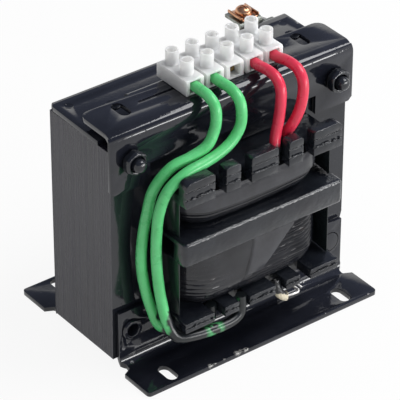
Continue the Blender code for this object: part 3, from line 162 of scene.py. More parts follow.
# Windings, as in the model, with finer rings, and the relief of turns, tape edges and creases
WINDING_HALF_WIDTH = 0.0372
WINDING_REACH = 0.0385
WINDING_CORNER = 0.015
WINDING_CROWN = 0.0025
SMOOTH_HALF_WIDTH = 0.017
ARC_STEPS = 14
FLAT_STEPS = 14
UPPER_STEPS = 72
UPPER_BARREL = 0.0045
UPPER_SHOULDER = 0.0014
UPPER_INSET = 0.0005
UPPER_PITCH = 0.0019
UPPER_SWAY = 0.0004
UPPER_RIDGES = 0.00012
UPPER_RIDGES_BARE = 0.00028
UPPER_BARE_RUN = 0.0012
UPPER_LOOSE = 0.00035
LOWER_SHOULDER = 0.0046
LOWER_STEPS = 10
TURN_PITCH = 0.0023
TURN_DEPTH = 0.0006
LOWER_SWAY = 0.00035
LOWER_LOOSE = 0.00030
RIDGES_TOP = 0.0460
RIDGES_RUN = 0.0080
RIDGES_LEAST = 0.12
RIDGES_RIGHT_RUN = 0.0030
SLACK_LEAST = 0.15
TAPE = 0.0004
TAPE_BACK = 0.0005
TAPE_STUCK = 0.0009
TAPE_SUNK = 0.00005
TAPE_EDGE_SWAY = 0.0008
UPPER_CREASE = 0.00012
LOWER_CREASE = 0.00025
TAPE_FINE = (56, 30)
TAPE_EDGE = ((0.0300, -0.0106), (0.0349, -0.0081), (0.0428, -0.0056), (0.0507, -0.0042))
TAPE_RIGHT = ((0.0300, -0.0040), (0.0360, 0.0010), (0.0510, 0.0170), (0.0540, 0.0185))
TUBE_HALF_X = CENTRE_LIMB / 2 + GAP + 0.0018
TUBE_HALF_Y = FACE + GAP + 0.0018
TUBE_CORNER = 0.0004

# Terminal strip
POLES = (-0.015, -0.005, 0.005, 0.015, 0.025)
WIRE_Z = 0.1170
BARREL_FRONT = -0.0165
CLAMP_FRONT = -0.0130
CONDUCTOR = 0.0019
STRANDS = 7
STRANDS_REACH = 0.0046
STRANDS_LAY = 1.4
STRANDS_GROOVE = 0.14
LEAD_STEP = 0.0016

# Leads and the winding end
LEAD_DIAMETER = 0.0046
SLEEVE_DIAMETER = 0.0041
SLEEVE_BORE = 0.0022
SLEEVE_STEP = 0.0002
BRAID_PITCH = 0.0042
BRAID_DEPTH = 0.00022
WIRE_STEP = 0.0006
WIRE_DIAMETER = 0.0012
GREEN_LEAD_1 = (
    (-0.0150, -0.0190, 0.1170), (-0.0150, -0.0245, 0.1168), (-0.0151, -0.0292, 0.1145),
    (-0.0154, -0.0308, 0.1095), (-0.0168, -0.0312, 0.1040), (-0.0208, -0.0318, 0.0990),
    (-0.0280, -0.0306, 0.0958), (-0.0366, -0.0292, 0.0934), (-0.0442, -0.0280, 0.0858),
    (-0.0470, -0.0270, 0.0745), (-0.0488, -0.0264, 0.0630), (-0.0494, -0.0262, 0.0520),
    (-0.0484, -0.0266, 0.0410), (-0.0466, -0.0282, 0.0305), (-0.0438, -0.0302, 0.0208),
    (-0.0374, -0.0322, 0.0158), (-0.0290, -0.0354, 0.0152), (-0.0238, -0.0367, 0.0170),
    (-0.0224, -0.0369, 0.0206), (-0.0223, -0.0369, 0.0255),
)
GREEN_LEAD_2 = (
    (-0.0050, -0.0190, 0.1170), (-0.0050, -0.0262, 0.1172), (-0.0050, -0.0318, 0.1150),
    (-0.0051, -0.0338, 0.1100), (-0.0062, -0.0344, 0.1040), (-0.0105, -0.0348, 0.0990),
    (-0.0170, -0.0352, 0.0960), (-0.0250, -0.0355, 0.0944), (-0.0344, -0.0355, 0.0928),
    (-0.0424, -0.0350, 0.0878), (-0.0460, -0.0340, 0.0784), (-0.0465, -0.0328, 0.0670),
    (-0.0460, -0.0318, 0.0560), (-0.0454, -0.0320, 0.0450), (-0.0448, -0.0334, 0.0350),
    (-0.0442, -0.0362, 0.0262), (-0.0418, -0.0394, 0.0192), (-0.0345, -0.0414, 0.0176),
    (-0.0240, -0.0420, 0.0168), (-0.0160, -0.0418, 0.0166), (-0.0110, -0.0412, 0.0180),
    (-0.0096, -0.0406, 0.0214), (-0.0095, -0.0404, 0.0268),
)
RED_LEAD_1 = (
    (0.0150, -0.0190, 0.1170), (0.0150, -0.0250, 0.1176), (0.0150, -0.0306, 0.1166),
    (0.0147, -0.0338, 0.1125), (0.0140, -0.0346, 0.1060), (0.0130, -0.0348, 0.0998),
    (0.0112, -0.0354, 0.0940), (0.0097, -0.0367, 0.0890), (0.0095, -0.0370, 0.0824),
)
RED_LEAD_2 = (
    (0.0250, -0.0190, 0.1172), (0.0250, -0.0250, 0.1184), (0.0250, -0.0312, 0.1180),
    (0.0247, -0.0352, 0.1145), (0.0238, -0.0366, 0.1085), (0.0219, -0.0368, 0.1020),
    (0.0194, -0.0357, 0.0960), (0.0174, -0.0334, 0.0908), (0.0167, -0.0326, 0.0868),
    (0.0167, -0.0326, 0.0824),
)
SLEEVE_ROUTE = (
    (0.0095, -0.0388, 0.0250), (0.0096, -0.0398, 0.0221), (0.0102, -0.0410, 0.0197),
    (0.0117, -0.0420, 0.0181), (0.0130, -0.0425, 0.0177),
)
WIRE_ROUTE = (
    (0.0095, -0.0388, 0.0255), *SLEEVE_ROUTE[1:], (0.0160, -0.0430, 0.0177), (0.0184, -0.0432, 0.0178),
    (0.0192, -0.0424, 0.0181), (0.0184, -0.0404, 0.0190), (0.0180, -0.0391, 0.0202), (0.0192, -0.0389, 0.0203),
    (0.0204, -0.0400, 0.0192), (0.0214, -0.0422, 0.0180),
)

# Studio
FLOOR_HALF = 6.0
FLOOR_HEIGHT = -0.0002
FLOOR_COLOUR = (0.86, 0.86, 0.86)
FLOOR_SHADOW = 0.10
LAMP_DISTANCE = 0.95
LAMPS = (
    ("overhead box", Vector((0.50, -0.24, 0.83)), (0.52, 0.50), 6.0),
    ("front strip", Vector((0.50, -0.85, 0.13)), (0.80, 0.14), 4.8),
)
AMBIENT = 0.46
WHITE = (1, 1, 1)
SKY_DARK = (0.20, 0.225, 0.31)
SKY_BAND = (0.26, 0.46)


# Nodes of a material

class Nodes:
    """The nodes of a material or of the world, put together one by one."""

    def __init__(self, owner):
        owner.use_nodes = True
        self.tree = owner.node_tree
        self.tree.nodes.clear()

    def feed(self, socket, value):
        """Links an output to a socket, or writes a constant on it; a colour gets its alpha here."""
        if isinstance(value, bpy.types.NodeSocket):
            self.tree.links.new(value, socket)
        else:
            socket.default_value = (*value, 1) if socket.type == "RGBA" else value

    def add(self, kind, *first, **named):
        """A new node with its first sockets fed in their order and others by name, with underscores for spaces."""
        node = self.tree.nodes.new("ShaderNode" + kind)
        for socket, value in zip(node.inputs, first):
            self.feed(socket, value)
        for name, value in named.items():
            self.feed(node.inputs[name.replace("_", " ")], value)
        return node

    def math(self, operation, *values):
        node = self.add("Math", *values)
        node.operation = operation
        return node.outputs[0]

    def times(self, first, second):
        return self.math("MULTIPLY", first, second)

    def plus(self, first, second):
        return self.math("ADD", first, second)

    def minus(self, first, second):
        return self.math("SUBTRACT", first, second)


class Shader(Nodes):
    """One procedural material in object coordinates, which are metres."""

    def __init__(self, name):
        self.material = bpy.data.materials.new(name)
        super().__init__(self.material)
        self.surface = self.add("BsdfPrincipled")
        self.add("OutputMaterial", self.surface.outputs[0])
        self.place = self.add("TexCoord").outputs["Object"]

    def set(self, **values):
        """Feeds sockets of the Principled shader, named with underscores for spaces."""
        for name, value in values.items():
            self.feed(self.surface.inputs[name.replace("_", " ")], value)

    def stretched(self, scale, turn=(0, 0, 0)):
        return self.add("Mapping", Vector=self.place, Scale=scale, Rotation=turn).outputs[0]

    def noise(self, scale, detail=3.0, rough=0.5, place=None):
        node = self.add("TexNoise", Vector=place or self.place, Scale=scale, Detail=detail, Roughness=rough)
        return node.outputs["Fac"]

    def ragged(self, width, scale, detail=4.0, rough=0.65):
        """An uneven shift to both sides of zero."""
        return self.times(self.minus(self.noise(scale, detail, rough), 0.5), width)

    def cells(self, scale):
        return self.add("TexVoronoi", Vector=self.place, Scale=scale).outputs["Distance"]

    def span(self, value, low, high, to_low=0.0, to_high=1.0):
        """The value stretched from one range to another, clamped."""
        return self.add("MapRange", value, low, high, to_low, to_high).outputs[0]

    def mix(self, share, first, second):
        """A colour between two others."""
        node = self.add("Mix", Factor=share)
        node.data_type = "RGBA"
        colours = [socket for socket in node.inputs if socket.type == "RGBA"]
        self.feed(colours[0], first)
        self.feed(colours[1], second)
        return next(socket for socket in node.outputs if socket.type == "RGBA")

    def stain(self, colour, mask, share, other):
        """The colour with a share of another one where the mask is 1."""
        return self.mix(self.times(mask, share), colour, other)

    def blend(self, share, first, second):
        """A value between two others."""
        return self.plus(self.times(first, self.minus(1.0, share)), self.times(second, share))

    def bump(self, layers):
        """Stacked bumps: (height, depth in metres) pairs, broad ones first."""
        below = {}
        for height, depth in layers:
            node = self.add("Bump", Strength=1.0, Distance=depth, Height=height, **below)
            below = {"Normal": node.outputs[0]}
        self.set(**below)

    def edge(self):
        """1 on the narrow faces that a bevel made, 0 elsewhere."""
        node = self.add("Attribute")
        node.attribute_name = "edge"
        return node.outputs["Fac"]

    def split(self, output="Object"):
        """X, Y and Z of the place or of the normal."""
        return self.add("SeparateXYZ", self.place.node.outputs[output]).outputs

    def near(self, at, radius):
        """1 at a point of the object, falling to 0 at the radius."""
        node = self.add("VectorMath", self.place, at)
        node.operation = "DISTANCE"
        return self.span(node.outputs["Value"], radius * 0.35, radius, 1, 0)


def lacquer_relief(shader, wave, peel, nibs):
    """Dipped lacquer: slow sags, orange peel and a few dust nibs."""
    sags = shader.noise(95, 2.0, 0.45)
    skin = shader.noise(820, 2.0, 0.5)
    dust = shader.span(shader.cells(270), 0.04, 0.13, 1, 0)
    return [(sags, wave), (skin, peel), (dust, nibs)]


def steel_lacquer():
    """Thick glossy black lacquer on the bent sheets, chipped at a few edges; some of the light spots are painted
    glints.
    """
    shader = Shader("steel lacquer")
    cloud = shader.noise(38, 4.0, 0.6)
    colour = shader.mix(shader.span(cloud, 0.35, 0.68), (0.0070, 0.0080, 0.0125), (0.0150, 0.0165, 0.0235))
    dust = shader.span(shader.cells(420), 0.05, 0.10, 1, 0)
    colour = shader.stain(colour, dust, 0.25, (0.10, 0.10, 0.11))
    chips_and_glints = shader.times(shader.edge(), shader.span(shader.noise(210, 4.0, 0.7), 0.66, 0.70))
    # light bare-metal spots at the listed points, partly painted highlight
    for at, radius in CHIPS_AND_GLINTS:
        spot = shader.times(shader.near(at, radius), shader.span(shader.noise(1300, 3.0), 0.42, 0.50))
        chips_and_glints = shader.math("MAXIMUM", chips_and_glints, spot)
    colour = shader.mix(chips_and_glints, colour, (0.62, 0.61, 0.59))
    rough = shader.span(shader.noise(60, 3.0, 0.6), 0.3, 0.75, 0.04, 0.13)
    rough = shader.math("MAXIMUM", rough, shader.times(chips_and_glints, 0.5))
    shader.set(Base_Color=colour, Roughness=rough, Metallic=chips_and_glints, IOR=1.52)
    runs = shader.span(shader.noise(1, 3.0, 0.6, shader.stretched((260, 260, 34))), 0.46, 0.62)
    layers = [(runs, 0.000012)] + lacquer_relief(shader, 0.00009, 0.000005, 0.00003)
    layers.append((chips_and_glints, -0.00006))
    shader.bump(layers)
    return shader.material


def core_lacquer():
    """Satin streaks over the edges of the sheets; thick and glossy on the first and the last sheet; painted shade
    weakens the sides' reflections towards the bottom.
    """
    shader = Shader("core lacquer")
    face = shader.span(shader.math("ABSOLUTE", shader.split("Normal")["Y"]), 0.6, 0.8)
    side = shader.minus(1.0, face)
    fine = shader.noise(1, 3.0, 0.6, shader.stretched((30, 1900, 14)))
    broad = shader.noise(1, 2.0, 0.5, shader.stretched((25, 420, 9)))
    streak = shader.plus(shader.times(fine, 0.55), shader.times(broad, 0.45))
    cloud = shader.noise(30, 3.0, 0.6)
    colour = shader.mix(shader.span(streak, 0.36, 0.64), (0.008, 0.007, 0.013), (0.022, 0.0205, 0.033))
    colour = shader.stain(colour, shader.span(cloud, 0.45, 0.75), 0.4, (0.014, 0.014, 0.020))
    pooled = shader.mix(shader.span(cloud, 0.35, 0.68), (0.0065, 0.0075, 0.0110), (0.0140, 0.0155, 0.0210))
    colour = shader.mix(face, colour, pooled)
    dust = shader.span(shader.cells(330), 0.05, 0.11, 1, 0)
    colour = shader.stain(colour, dust, 0.2, (0.12, 0.12, 0.12))
    satin = shader.span(streak, 0.35, 0.65, 0.18, 0.34)
    gloss = shader.span(shader.noise(60, 3.0, 0.6), 0.3, 0.75, 0.05, 0.14)
    # painted shade: the sides reflect less towards the bottom
    shine = shader.blend(face, shader.span(shader.split()["Z"], 0.0, 0.085, 0.26, 0.44), 0.5)
    shader.set(Base_Color=colour, Roughness=shader.blend(face, satin, gloss), IOR=1.5, Specular_IOR_Level=shine)
    shader.bump([
        (shader.times(cloud, side), 0.00020), (shader.times(streak, side), 0.00005),
        (shader.times(shader.noise(95, 2.0, 0.45), face), 0.00012),
        (shader.times(shader.noise(820, 2.0), face), 0.000008), (dust, 0.00003),
    ])
    return shader.material


def plastic_lacquer():
    """Lacquer on the bobbin: pooled in corners, lumpy, very glossy."""
    shader = Shader("bobbin lacquer")
    cloud = shader.noise(70, 4.0, 0.6)
    colour = shader.mix(shader.span(cloud, 0.35, 0.65), (0.0060, 0.0070, 0.0105), (0.0140, 0.0165, 0.0215))
    rough = shader.span(shader.noise(110, 3.0, 0.6), 0.3, 0.75, 0.04, 0.13)
    height = shader.split()["Z"]
    rim = shader.times(shader.span(height, *RIM_LOW), shader.span(height, *RIM_HIGH, 1, 0))
    rim = shader.times(rim, shader.edge())
    shader.set(Base_Color=colour, Roughness=shader.blend(rim, rough, 0.55), IOR=1.53)
    beads = shader.times(shader.minus(shader.edge(), rim), shader.noise(420, 2.0, 0.5))
    lumps = [(shader.noise(330, 4.0, 0.65), 0.00034), (beads, 0.00016)]
    shader.bump(lumps + lacquer_relief(shader, 0.00030, 0.00001, 0.00005))
    return shader.material


def shine_with_painted_shade(shader):
    """Painted shade as weaker reflections: less shine low on the lower winding and towards its right, with a ragged
    edge, and on the upper winding.
    """
    place = shader.split()
    right = shader.math("MAXIMUM", place["X"], 0.0)
    rise = shader.plus(shader.times(place["X"], SHADE_EDGE_SLOPE), shader.times(shader.times(right, right), SHADE_EDGE_CURVE))
    edge = shader.math("MAXIMUM", shader.plus(rise, SHADE_EDGE_HEIGHT), SHADE_EDGE_LIMITS[0])
    edge = shader.math("MINIMUM", edge, SHADE_EDGE_LIMITS[1])
    above = shader.minus(shader.plus(place["Z"], shader.ragged(0.0085, 210)), edge)
    shine = shader.span(above, -0.0005, 0.0005, 0.13, 0.5)
    return shader.times(shine, shader.span(place["Z"], *UPPER_TAPE_EDGE, 1.0, 0.25))


def winding_lacquer():
    """Turns of enamelled wire drowned in lacquer."""
    shader = Shader("winding lacquer")
    cloud = shader.noise(85, 4.0, 0.6)
    colour = shader.mix(shader.span(cloud, 0.3, 0.7), (0.0065, 0.0070, 0.0095), (0.0170, 0.0175, 0.0215))
    copper = shader.span(shader.noise(160, 2.0), 0.66, 0.74)
    colour = shader.stain(colour, copper, 0.3, (0.030, 0.018, 0.015))
    # the reflections carry painted shade
    shader.set(
        Base_Color=colour, Roughness=shader.span(cloud, 0.3, 0.7, 0.07, 0.18), IOR=1.48,
        Specular_IOR_Level=shine_with_painted_shade(shader),
    )
    shader.bump(lacquer_relief(shader, 0.00030, 0.000012, 0.00005))
    return shader.material


def tape_lacquer():
    """Woven tape soaked with lacquer, the weave just readable."""
    shader = Shader("tape lacquer")
    cloud = shader.noise(75, 4.0, 0.6)
    colour = shader.mix(shader.span(cloud, 0.3, 0.7), (0.020, 0.0205, 0.0245), (0.038, 0.039, 0.046))
    place = shader.split()
    across = shader.math("SINE", shader.times(place["X"], 9500))
    along = shader.math("SINE", shader.times(place["Z"], 9500))
    weave = shader.times(across, along)
    # the reflections carry painted shade
    shader.set(
        Base_Color=colour, Roughness=shader.span(cloud, 0.3, 0.7, 0.10, 0.24), IOR=1.5,
        Specular_IOR_Level=shine_with_painted_shade(shader),
    )
    shader.bump([(shader.noise(95, 2.0), 0.0003), (weave, 0.000012), (shader.noise(700, 2.0), 0.00001)])
    return shader.material


def sheet_lacquer():
    """Stiff insulating film, lacquered, with faint greenish depth."""
    shader = Shader("insulating film")
    cloud = shader.noise(60, 4.0, 0.6)
    colour = shader.mix(cloud, (0.006, 0.009, 0.010), (0.016, 0.022, 0.024))
    shader.set(Base_Color=colour, Roughness=shader.span(cloud, 0.3, 0.7, 0.14, 0.30), IOR=1.5)
    shader.bump([(shader.noise(80, 2.0), 0.0003), (shader.noise(900, 2.0), 0.00001)])
    return shader.material


def polyamide():
    """White moulding with a little light in it, painted shade making it darker and bluer towards the bottom, and a
    few grey smudges near the lacquer.
    """
    shader = Shader("white polyamide")
    cloud = shader.noise(110, 4.0, 0.6)
    colour = shader.mix(shader.span(cloud, 0.3, 0.7), (0.74, 0.745, 0.74), (0.83, 0.83, 0.82))
    height = shader.split()["Z"]
    # painted shade: darker and bluer towards the bottom of the strip
    colour = shader.mix(shader.span(height, STRIP_LOW, STRIP_HIGH, 0.45, 0), colour, (0.50, 0.505, 0.53))
    low = shader.span(height, STRIP_LOW, STRIP_GRIME, 1, 0)
    grime = shader.times(low, shader.span(shader.noise(420, 4.0, 0.7), 0.45, 0.72))
    colour = shader.stain(colour, grime, 0.55, (0.16, 0.16, 0.16))
    shader.set(
        Base_Color=colour, Roughness=shader.span(shader.noise(300, 3.0), 0.3, 0.7, 0.30, 0.46), IOR=1.53,
        Subsurface_Weight=0.85, Subsurface_Radius=(1.0, 0.97, 0.92), Subsurface_Scale=0.0060,
    )
    shader.bump([(shader.noise(150, 2.0), 0.00008), (shader.noise(1500, 3.0), 0.000012)])
    return shader.material


def metal(name, bright, dull, rough, scratch_turn=0.4, tarnish=None):
    """Bare or plated metal: cloudy tarnish and fine scratches."""
    shader = Shader(name)
    cloud = shader.noise(230, 4.0, 0.65)
    colour = shader.mix(shader.span(cloud, 0.3, 0.7), bright, dull)
    if tarnish:
        stain = shader.span(shader.noise(480, 4.0, 0.7), 0.52, 0.66)
        colour = shader.mix(stain, colour, tarnish)
    scratch = shader.noise(1, 3.0, 0.6, shader.stretched((3000, 260, 3000), (0, 0, scratch_turn)))
    shader.set(
        Base_Color=colour, Metallic=1.0,
        Roughness=shader.span(shader.plus(cloud, scratch), 0.7, 1.3, rough, rough + 0.16),
    )
    shader.bump([(cloud, 0.00006), (scratch, 0.000010)])
    return shader.material


def insulation(name, deep, light, dip_top, dip_left):
    """Soft extruded insulation, satin; below and right of the dip it is drowned in black lacquer."""
    shader = Shader(name)
    cloud = shader.noise(120, 4.0, 0.6)
    colour = shader.mix(shader.span(cloud, 0.3, 0.7), deep, light)
    smudge = shader.span(shader.noise(65, 4.0, 0.7), 0.60, 0.78)
    colour = shader.stain(colour, smudge, 0.22, [part * 0.45 for part in deep])
    rough = shader.span(shader.noise(260, 3.0), 0.3, 0.7, 0.24, 0.38)
    place = shader.split()
    ragged = shader.ragged(0.010, 160, 2.0, 0.5)
    low = shader.span(shader.plus(place["Z"], ragged), dip_top - DIP_BLUR, dip_top + DIP_BLUR, 1, 0)
    inner = shader.span(shader.plus(place["X"], ragged), dip_left - DIP_BLUR, dip_left + DIP_BLUR)
    coat = shader.times(low, inner)
    for at, radius in BARE_SPOTS:
        bare = shader.times(shader.near(at, radius), shader.span(shader.noise(170, 2.0, 0.5), 0.36, 0.44))
        coat = shader.times(coat, shader.minus(1.0, bare))
    colour = shader.mix(coat, colour, (0.0075, 0.0095, 0.0110))
    rough = shader.blend(coat, rough, 0.30)
    shader.set(
        Base_Color=colour, Roughness=rough, IOR=1.50,
        Subsurface_Weight=0.06, Subsurface_Radius=(1.0, 1.0, 1.0), Subsurface_Scale=0.0008,
    )
    shader.bump([(shader.noise(240, 2.0), 0.00010), (shader.noise(1400, 2.0), 0.000008)])
    return shader.material


def woven_sleeve():
    """Cream braided sleeve stiffened with resin."""
    shader = Shader("cream sleeve")
    cloud = shader.noise(400, 4.0, 0.6)
    colour = shader.mix(shader.span(cloud, 0.3, 0.7), (0.62, 0.55, 0.40), (0.80, 0.74, 0.58))
    stain = shader.span(shader.noise(650, 3.0, 0.7), 0.58, 0.72)
    colour = shader.stain(colour, stain, 0.6, (0.16, 0.14, 0.11))
    coat = shader.span(shader.plus(shader.split()["Z"], shader.ragged(0.004, 420)), *SLEEVE_DIP)
    colour = shader.mix(coat, colour, (0.0080, 0.0090, 0.0110))
    rough = shader.blend(coat, shader.span(cloud, 0.3, 0.7, 0.35, 0.55), 0.34)
    shader.set(Base_Color=colour, Roughness=rough, IOR=1.5)
    shader.bump([(shader.noise(2200, 3.0), 0.00002)])
    return shader.material


# Meshes

def put(name, data):
    obj = bpy.data.objects.new(name, data)
    bpy.context.scene.collection.objects.link(obj)
    return obj


def applied(obj):
    """Turns the modifiers of an object into its own mesh."""
    bpy.context.view_layer.update()
    shape = bpy.data.meshes.new_from_object(obj.evaluated_get(bpy.context.evaluated_depsgraph_get()))
    old = obj.data
    obj.modifiers.clear()
    obj.data = shape
    bpy.data.meshes.remove(old)
    return obj


def mark_edges(obj):
    """Writes the edge attribute on the faces that the bevel made."""
    mesh = obj.data
    mark = mesh.attributes.new("edge", "FLOAT", "FACE")
    for face in mesh.polygons:
        mark.data[face.index].value = 1.0 if face.material_index == 1 else 0.0
        face.material_index = 0


def copied(node):
    """A copy of a CAD node's mesh, and its shape with the triangles of flat faces joined."""
    mesh = NODES[node].data.copy()
    shape = bmesh.new()
    shape.from_mesh(mesh)
    bmesh.ops.remove_doubles(shape, verts=shape.verts, dist=1e-6)
    bmesh.ops.dissolve_limit(
        shape, angle_limit=math.radians(0.5), use_dissolve_boundaries=False, verts=shape.verts, edges=shape.edges,
    )
    return mesh, shape


def sliced(shape, place, normal):
    """Cuts every face that a plane crosses."""
    everything = shape.verts[:] + shape.edges[:] + shape.faces[:]
    bmesh.ops.bisect_plane(shape, geom=everything, dist=1e-7, plane_co=place, plane_no=normal)


def dressed(node, slot, width, change=None):
    """A copy of a rigid CAD node with softened edges, which stands for it."""
    mesh, shape = copied(node)
    if change:
        change(shape)
    shape.to_mesh(mesh)
    shape.free()
    obj = put(node + "_surface", mesh)
    bevel = obj.modifiers.new("soft edges", "BEVEL")
    bevel.width = width
    bevel.segments = BEVEL_SEGMENTS
    bevel.limit_method = "ANGLE"
    bevel.angle_limit = math.radians(BEVEL_ANGLE)
    bevel.use_clamp_overlap = True
    bevel.material = 1
    mesh.materials.clear()
    mesh.materials.append(None)
    mesh.materials.append(None)
    applied(obj)
    obj.data.materials.clear()
    mark_edges(obj)
    obj.data.shade_smooth()
    obj.data.set_sharp_from_angle(angle=math.radians(BEVEL_ANGLE + 4))
    stands_for(obj, node, slot)
    return obj


def stands_for(obj, node, slot):
    """Puts a piece on its node's body in the node's place."""
    obj.data.materials.clear()
    obj.data.materials.append(MATERIALS["tarnished_zinc" if node == "earth_tab" else slot])
    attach(obj, node if node in frame["bodies"] else ROOT)
    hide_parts(node)


def extra(obj, slot):
    """Puts a piece that no node has on the fixed body."""
    obj.data.materials.append(MATERIALS[slot])
    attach(obj, ROOT)
    return obj


def lofted(name, rings, closed=True, smooth_angle=50):
    """A closed body through rings of equal length; closed joins the last ring to the first."""
    shape = bmesh.new()
    rows = [[shape.verts.new(point) for point in ring] for ring in rings]
    count = len(rows[0])
    pairs = list(zip(rows, rows[1:]))
    if closed:
        pairs.append((rows[-1], rows[0]))
    for low, high in pairs:
        for index in range(count):
            after = (index + 1) % count
            shape.faces.new((low[index], low[after], high[after], high[index]))
    if not closed:
        shape.faces.new(rows[0][::-1])
        shape.faces.new(rows[-1])
    bmesh.ops.recalc_face_normals(shape, faces=shape.faces)
    mesh = bpy.data.meshes.new(name)
    shape.to_mesh(mesh)
    shape.free()
    mesh.shade_smooth()
    mesh.set_sharp_from_angle(angle=math.radians(smooth_angle))
    return put(name, mesh)


def smooth_route(points, spacing):
    """Points at even distances along a smooth curve through the chosen ones."""
    chosen = [Vector(point) for point in points]
    chosen = [2 * chosen[0] - chosen[1]] + chosen + [2 * chosen[-1] - chosen[-2]]
    dense = []
    steps = 24
    for first, start, stop, last in zip(chosen, chosen[1:], chosen[2:], chosen[3:]):
        for step in range(steps):
            t = step / steps
            dense.append(0.5 * (
                2 * start + (stop - first) * t + (2 * first - 5 * start + 4 * stop - last) * t ** 2
                + (3 * start - first - 3 * stop + last) * t ** 3
            ))
    dense.append(chosen[-2])
    lengths = [(after - before).length for before, after in zip(dense, dense[1:])]
    count = max(round(sum(lengths) / spacing), 2)
    even = [dense[0]]
    walked = 0.0
    target = sum(lengths) / count
    for before, after, length in zip(dense, dense[1:], lengths):
        walked += length
        while walked >= target * len(even) and len(even) < count:
            even.append(after.lerp(before, (walked - target * len(even)) / length))
    even.append(dense[-1])
    return even


# Core

def laminated(node):
    """The core with its sheets: a fine groove at each joint, and each sheet a hair in or out."""
    mesh, shape = copied(node)
    sheets = round(2 * FACE / LAMINATION)
    for joint in range(1, sheets):
        for shift in (-SHEET_GROOVE, 0, SHEET_GROOVE):
            sliced(shape, (0, -FACE + joint * LAMINATION + shift, 0), (0, 1, 0))
    scatter = random.Random(7)
    offsets = [scatter.uniform(0, SHEET_SCATTER) for _ in range(sheets)]
    shape.normal_update()
    moves = []
    for vert in shape.verts:
        depth = (vert.co.y + FACE) / LAMINATION
        nearest = round(depth)
        if nearest in (0, sheets) and abs(depth - nearest) < 0.01:
            continue
        if abs(depth - nearest) * LAMINATION < SHEET_GROOVE / 2:
            inward = SHEET_GROOVE_DEPTH
        else:
            inward = offsets[min(int(depth), sheets - 1)]
        side = Vector((vert.normal.x, 0, vert.normal.z))
        if side.length > 0.1:
            moves.append((vert, side.normalized() * inward))
    for vert, move in moves:
        vert.co -= move
    if node == "core_i_laminations":
        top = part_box(node)[1].z
        for vert in shape.verts:
            if vert.co.z > top - 0.0001:
                vert.co.z += JOINT_CLOSED
    shape.to_mesh(mesh)
    shape.free()
    mesh.shade_smooth()
    mesh.set_sharp_from_angle(angle=math.radians(28))
    stands_for(put(node + "_sheets", mesh), node, "black_lacquer_core")


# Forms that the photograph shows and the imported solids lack

def without_rear_lugs(shape):
    """The rear rim of the bobbin ends at its flange, as nothing shows above the core's rear edge."""
    rear = [face for face in shape.faces if all(vert.co.y > FACE for vert in face.verts)]
    parts = {part for face in rear for part in (*face.verts, *face.edges)} | set(rear)
    bmesh.ops.bisect_plane(
        shape, geom=list(parts), dist=1e-7, plane_co=(0, 0, REAR_RIM), plane_no=(0, 0, 1), clear_outer=True,
    )
    open_edges = [edge for edge in shape.edges if edge.is_boundary]
    bmesh.ops.holes_fill(shape, edges=open_edges, sides=0)


def low_walls(shape):
    """The walls of the saddle washer stand less high than in the solid."""
    for vert in shape.verts:
        vert.co.z = min(vert.co.z, SADDLE_WALL_TOP)


def drowned(obj, voxel, rounds):
    """Rounds a small fastener off, as thick lacquer does."""
    grid = obj.modifiers.new("lacquer", "REMESH")
    grid.mode = "VOXEL"
    grid.voxel_size = voxel
    soft = obj.modifiers.new("soft", "SMOOTH")
    soft.iterations = rounds
    soft.factor = 0.5
    slot = obj.data.materials[0]
    applied(obj)
    obj.data.materials.clear()
    obj.data.materials.append(slot)
    obj.data.shade_smooth()


def low_rear_head(shape):
    """The left bolt's head at the rear stays below what the photograph's view passes over."""
    low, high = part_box("clamp_nut_left")
    centre = (low + high) / 2
    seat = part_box("rear_top_bracket")[1].y
    for vert in shape.verts:
        if vert.co.y > seat:
            vert.co.y = seat + (vert.co.y - seat) * REAR_HEAD_DEPTH_SHARE
            vert.co.x = centre.x + (vert.co.x - centre.x) * REAR_HEAD_WIDTH_SHARE
            vert.co.z = centre.z + (vert.co.z - centre.z) * REAR_HEAD_WIDTH_SHARE


def narrow_left_ear(shape):
    """Behind the core the left end of the rear bracket is narrower than the core."""
    for share in (0, 0.5, 1):
        sliced(shape, (0, EAR_START + EAR_RUN * share, 0), (0, 1, 0))
    for vert in shape.verts:
        over = max(vert.co.y - EAR_START, 0) / EAR_RUN
        limit = CORE_HALF - (CORE_HALF - EAR_HALF) * min(over, 1) ** EAR_CURVE
        if over > 0:
            vert.co.x = max(vert.co.x, -limit)


def flush_head(shape):
    """The hollow rivet at the front right is drowned in lacquer, level with the bracket."""
    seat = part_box("foot_rivet_right")[0].y + RIVET_HEAD
    for vert in shape.verts:
        vert.co.y = max(vert.co.y, seat)


def lacquer_plug(name, centre, axis, radii, dip, slot):
    """An oval of set lacquer that closes an opening, hollowed by the dip."""
    rings = []
    other = Vector((radii[0], 0, 0))
    third = axis.cross(Vector((radii[1], 0, 0)))
    for depth, share in [(-PLUG_SIDE, 1.0)] + [(-dip * depth, share) for depth, share in PLUG_PROFILE]:
        rings.append([
            centre + axis * depth + share * (other * math.cos(turn) + third * math.sin(turn))
            for turn in (math.tau * step / PLUG_CORNERS for step in range(PLUG_CORNERS))
        ])
    extra(lofted(name, rings, closed=False, smooth_angle=60), slot)


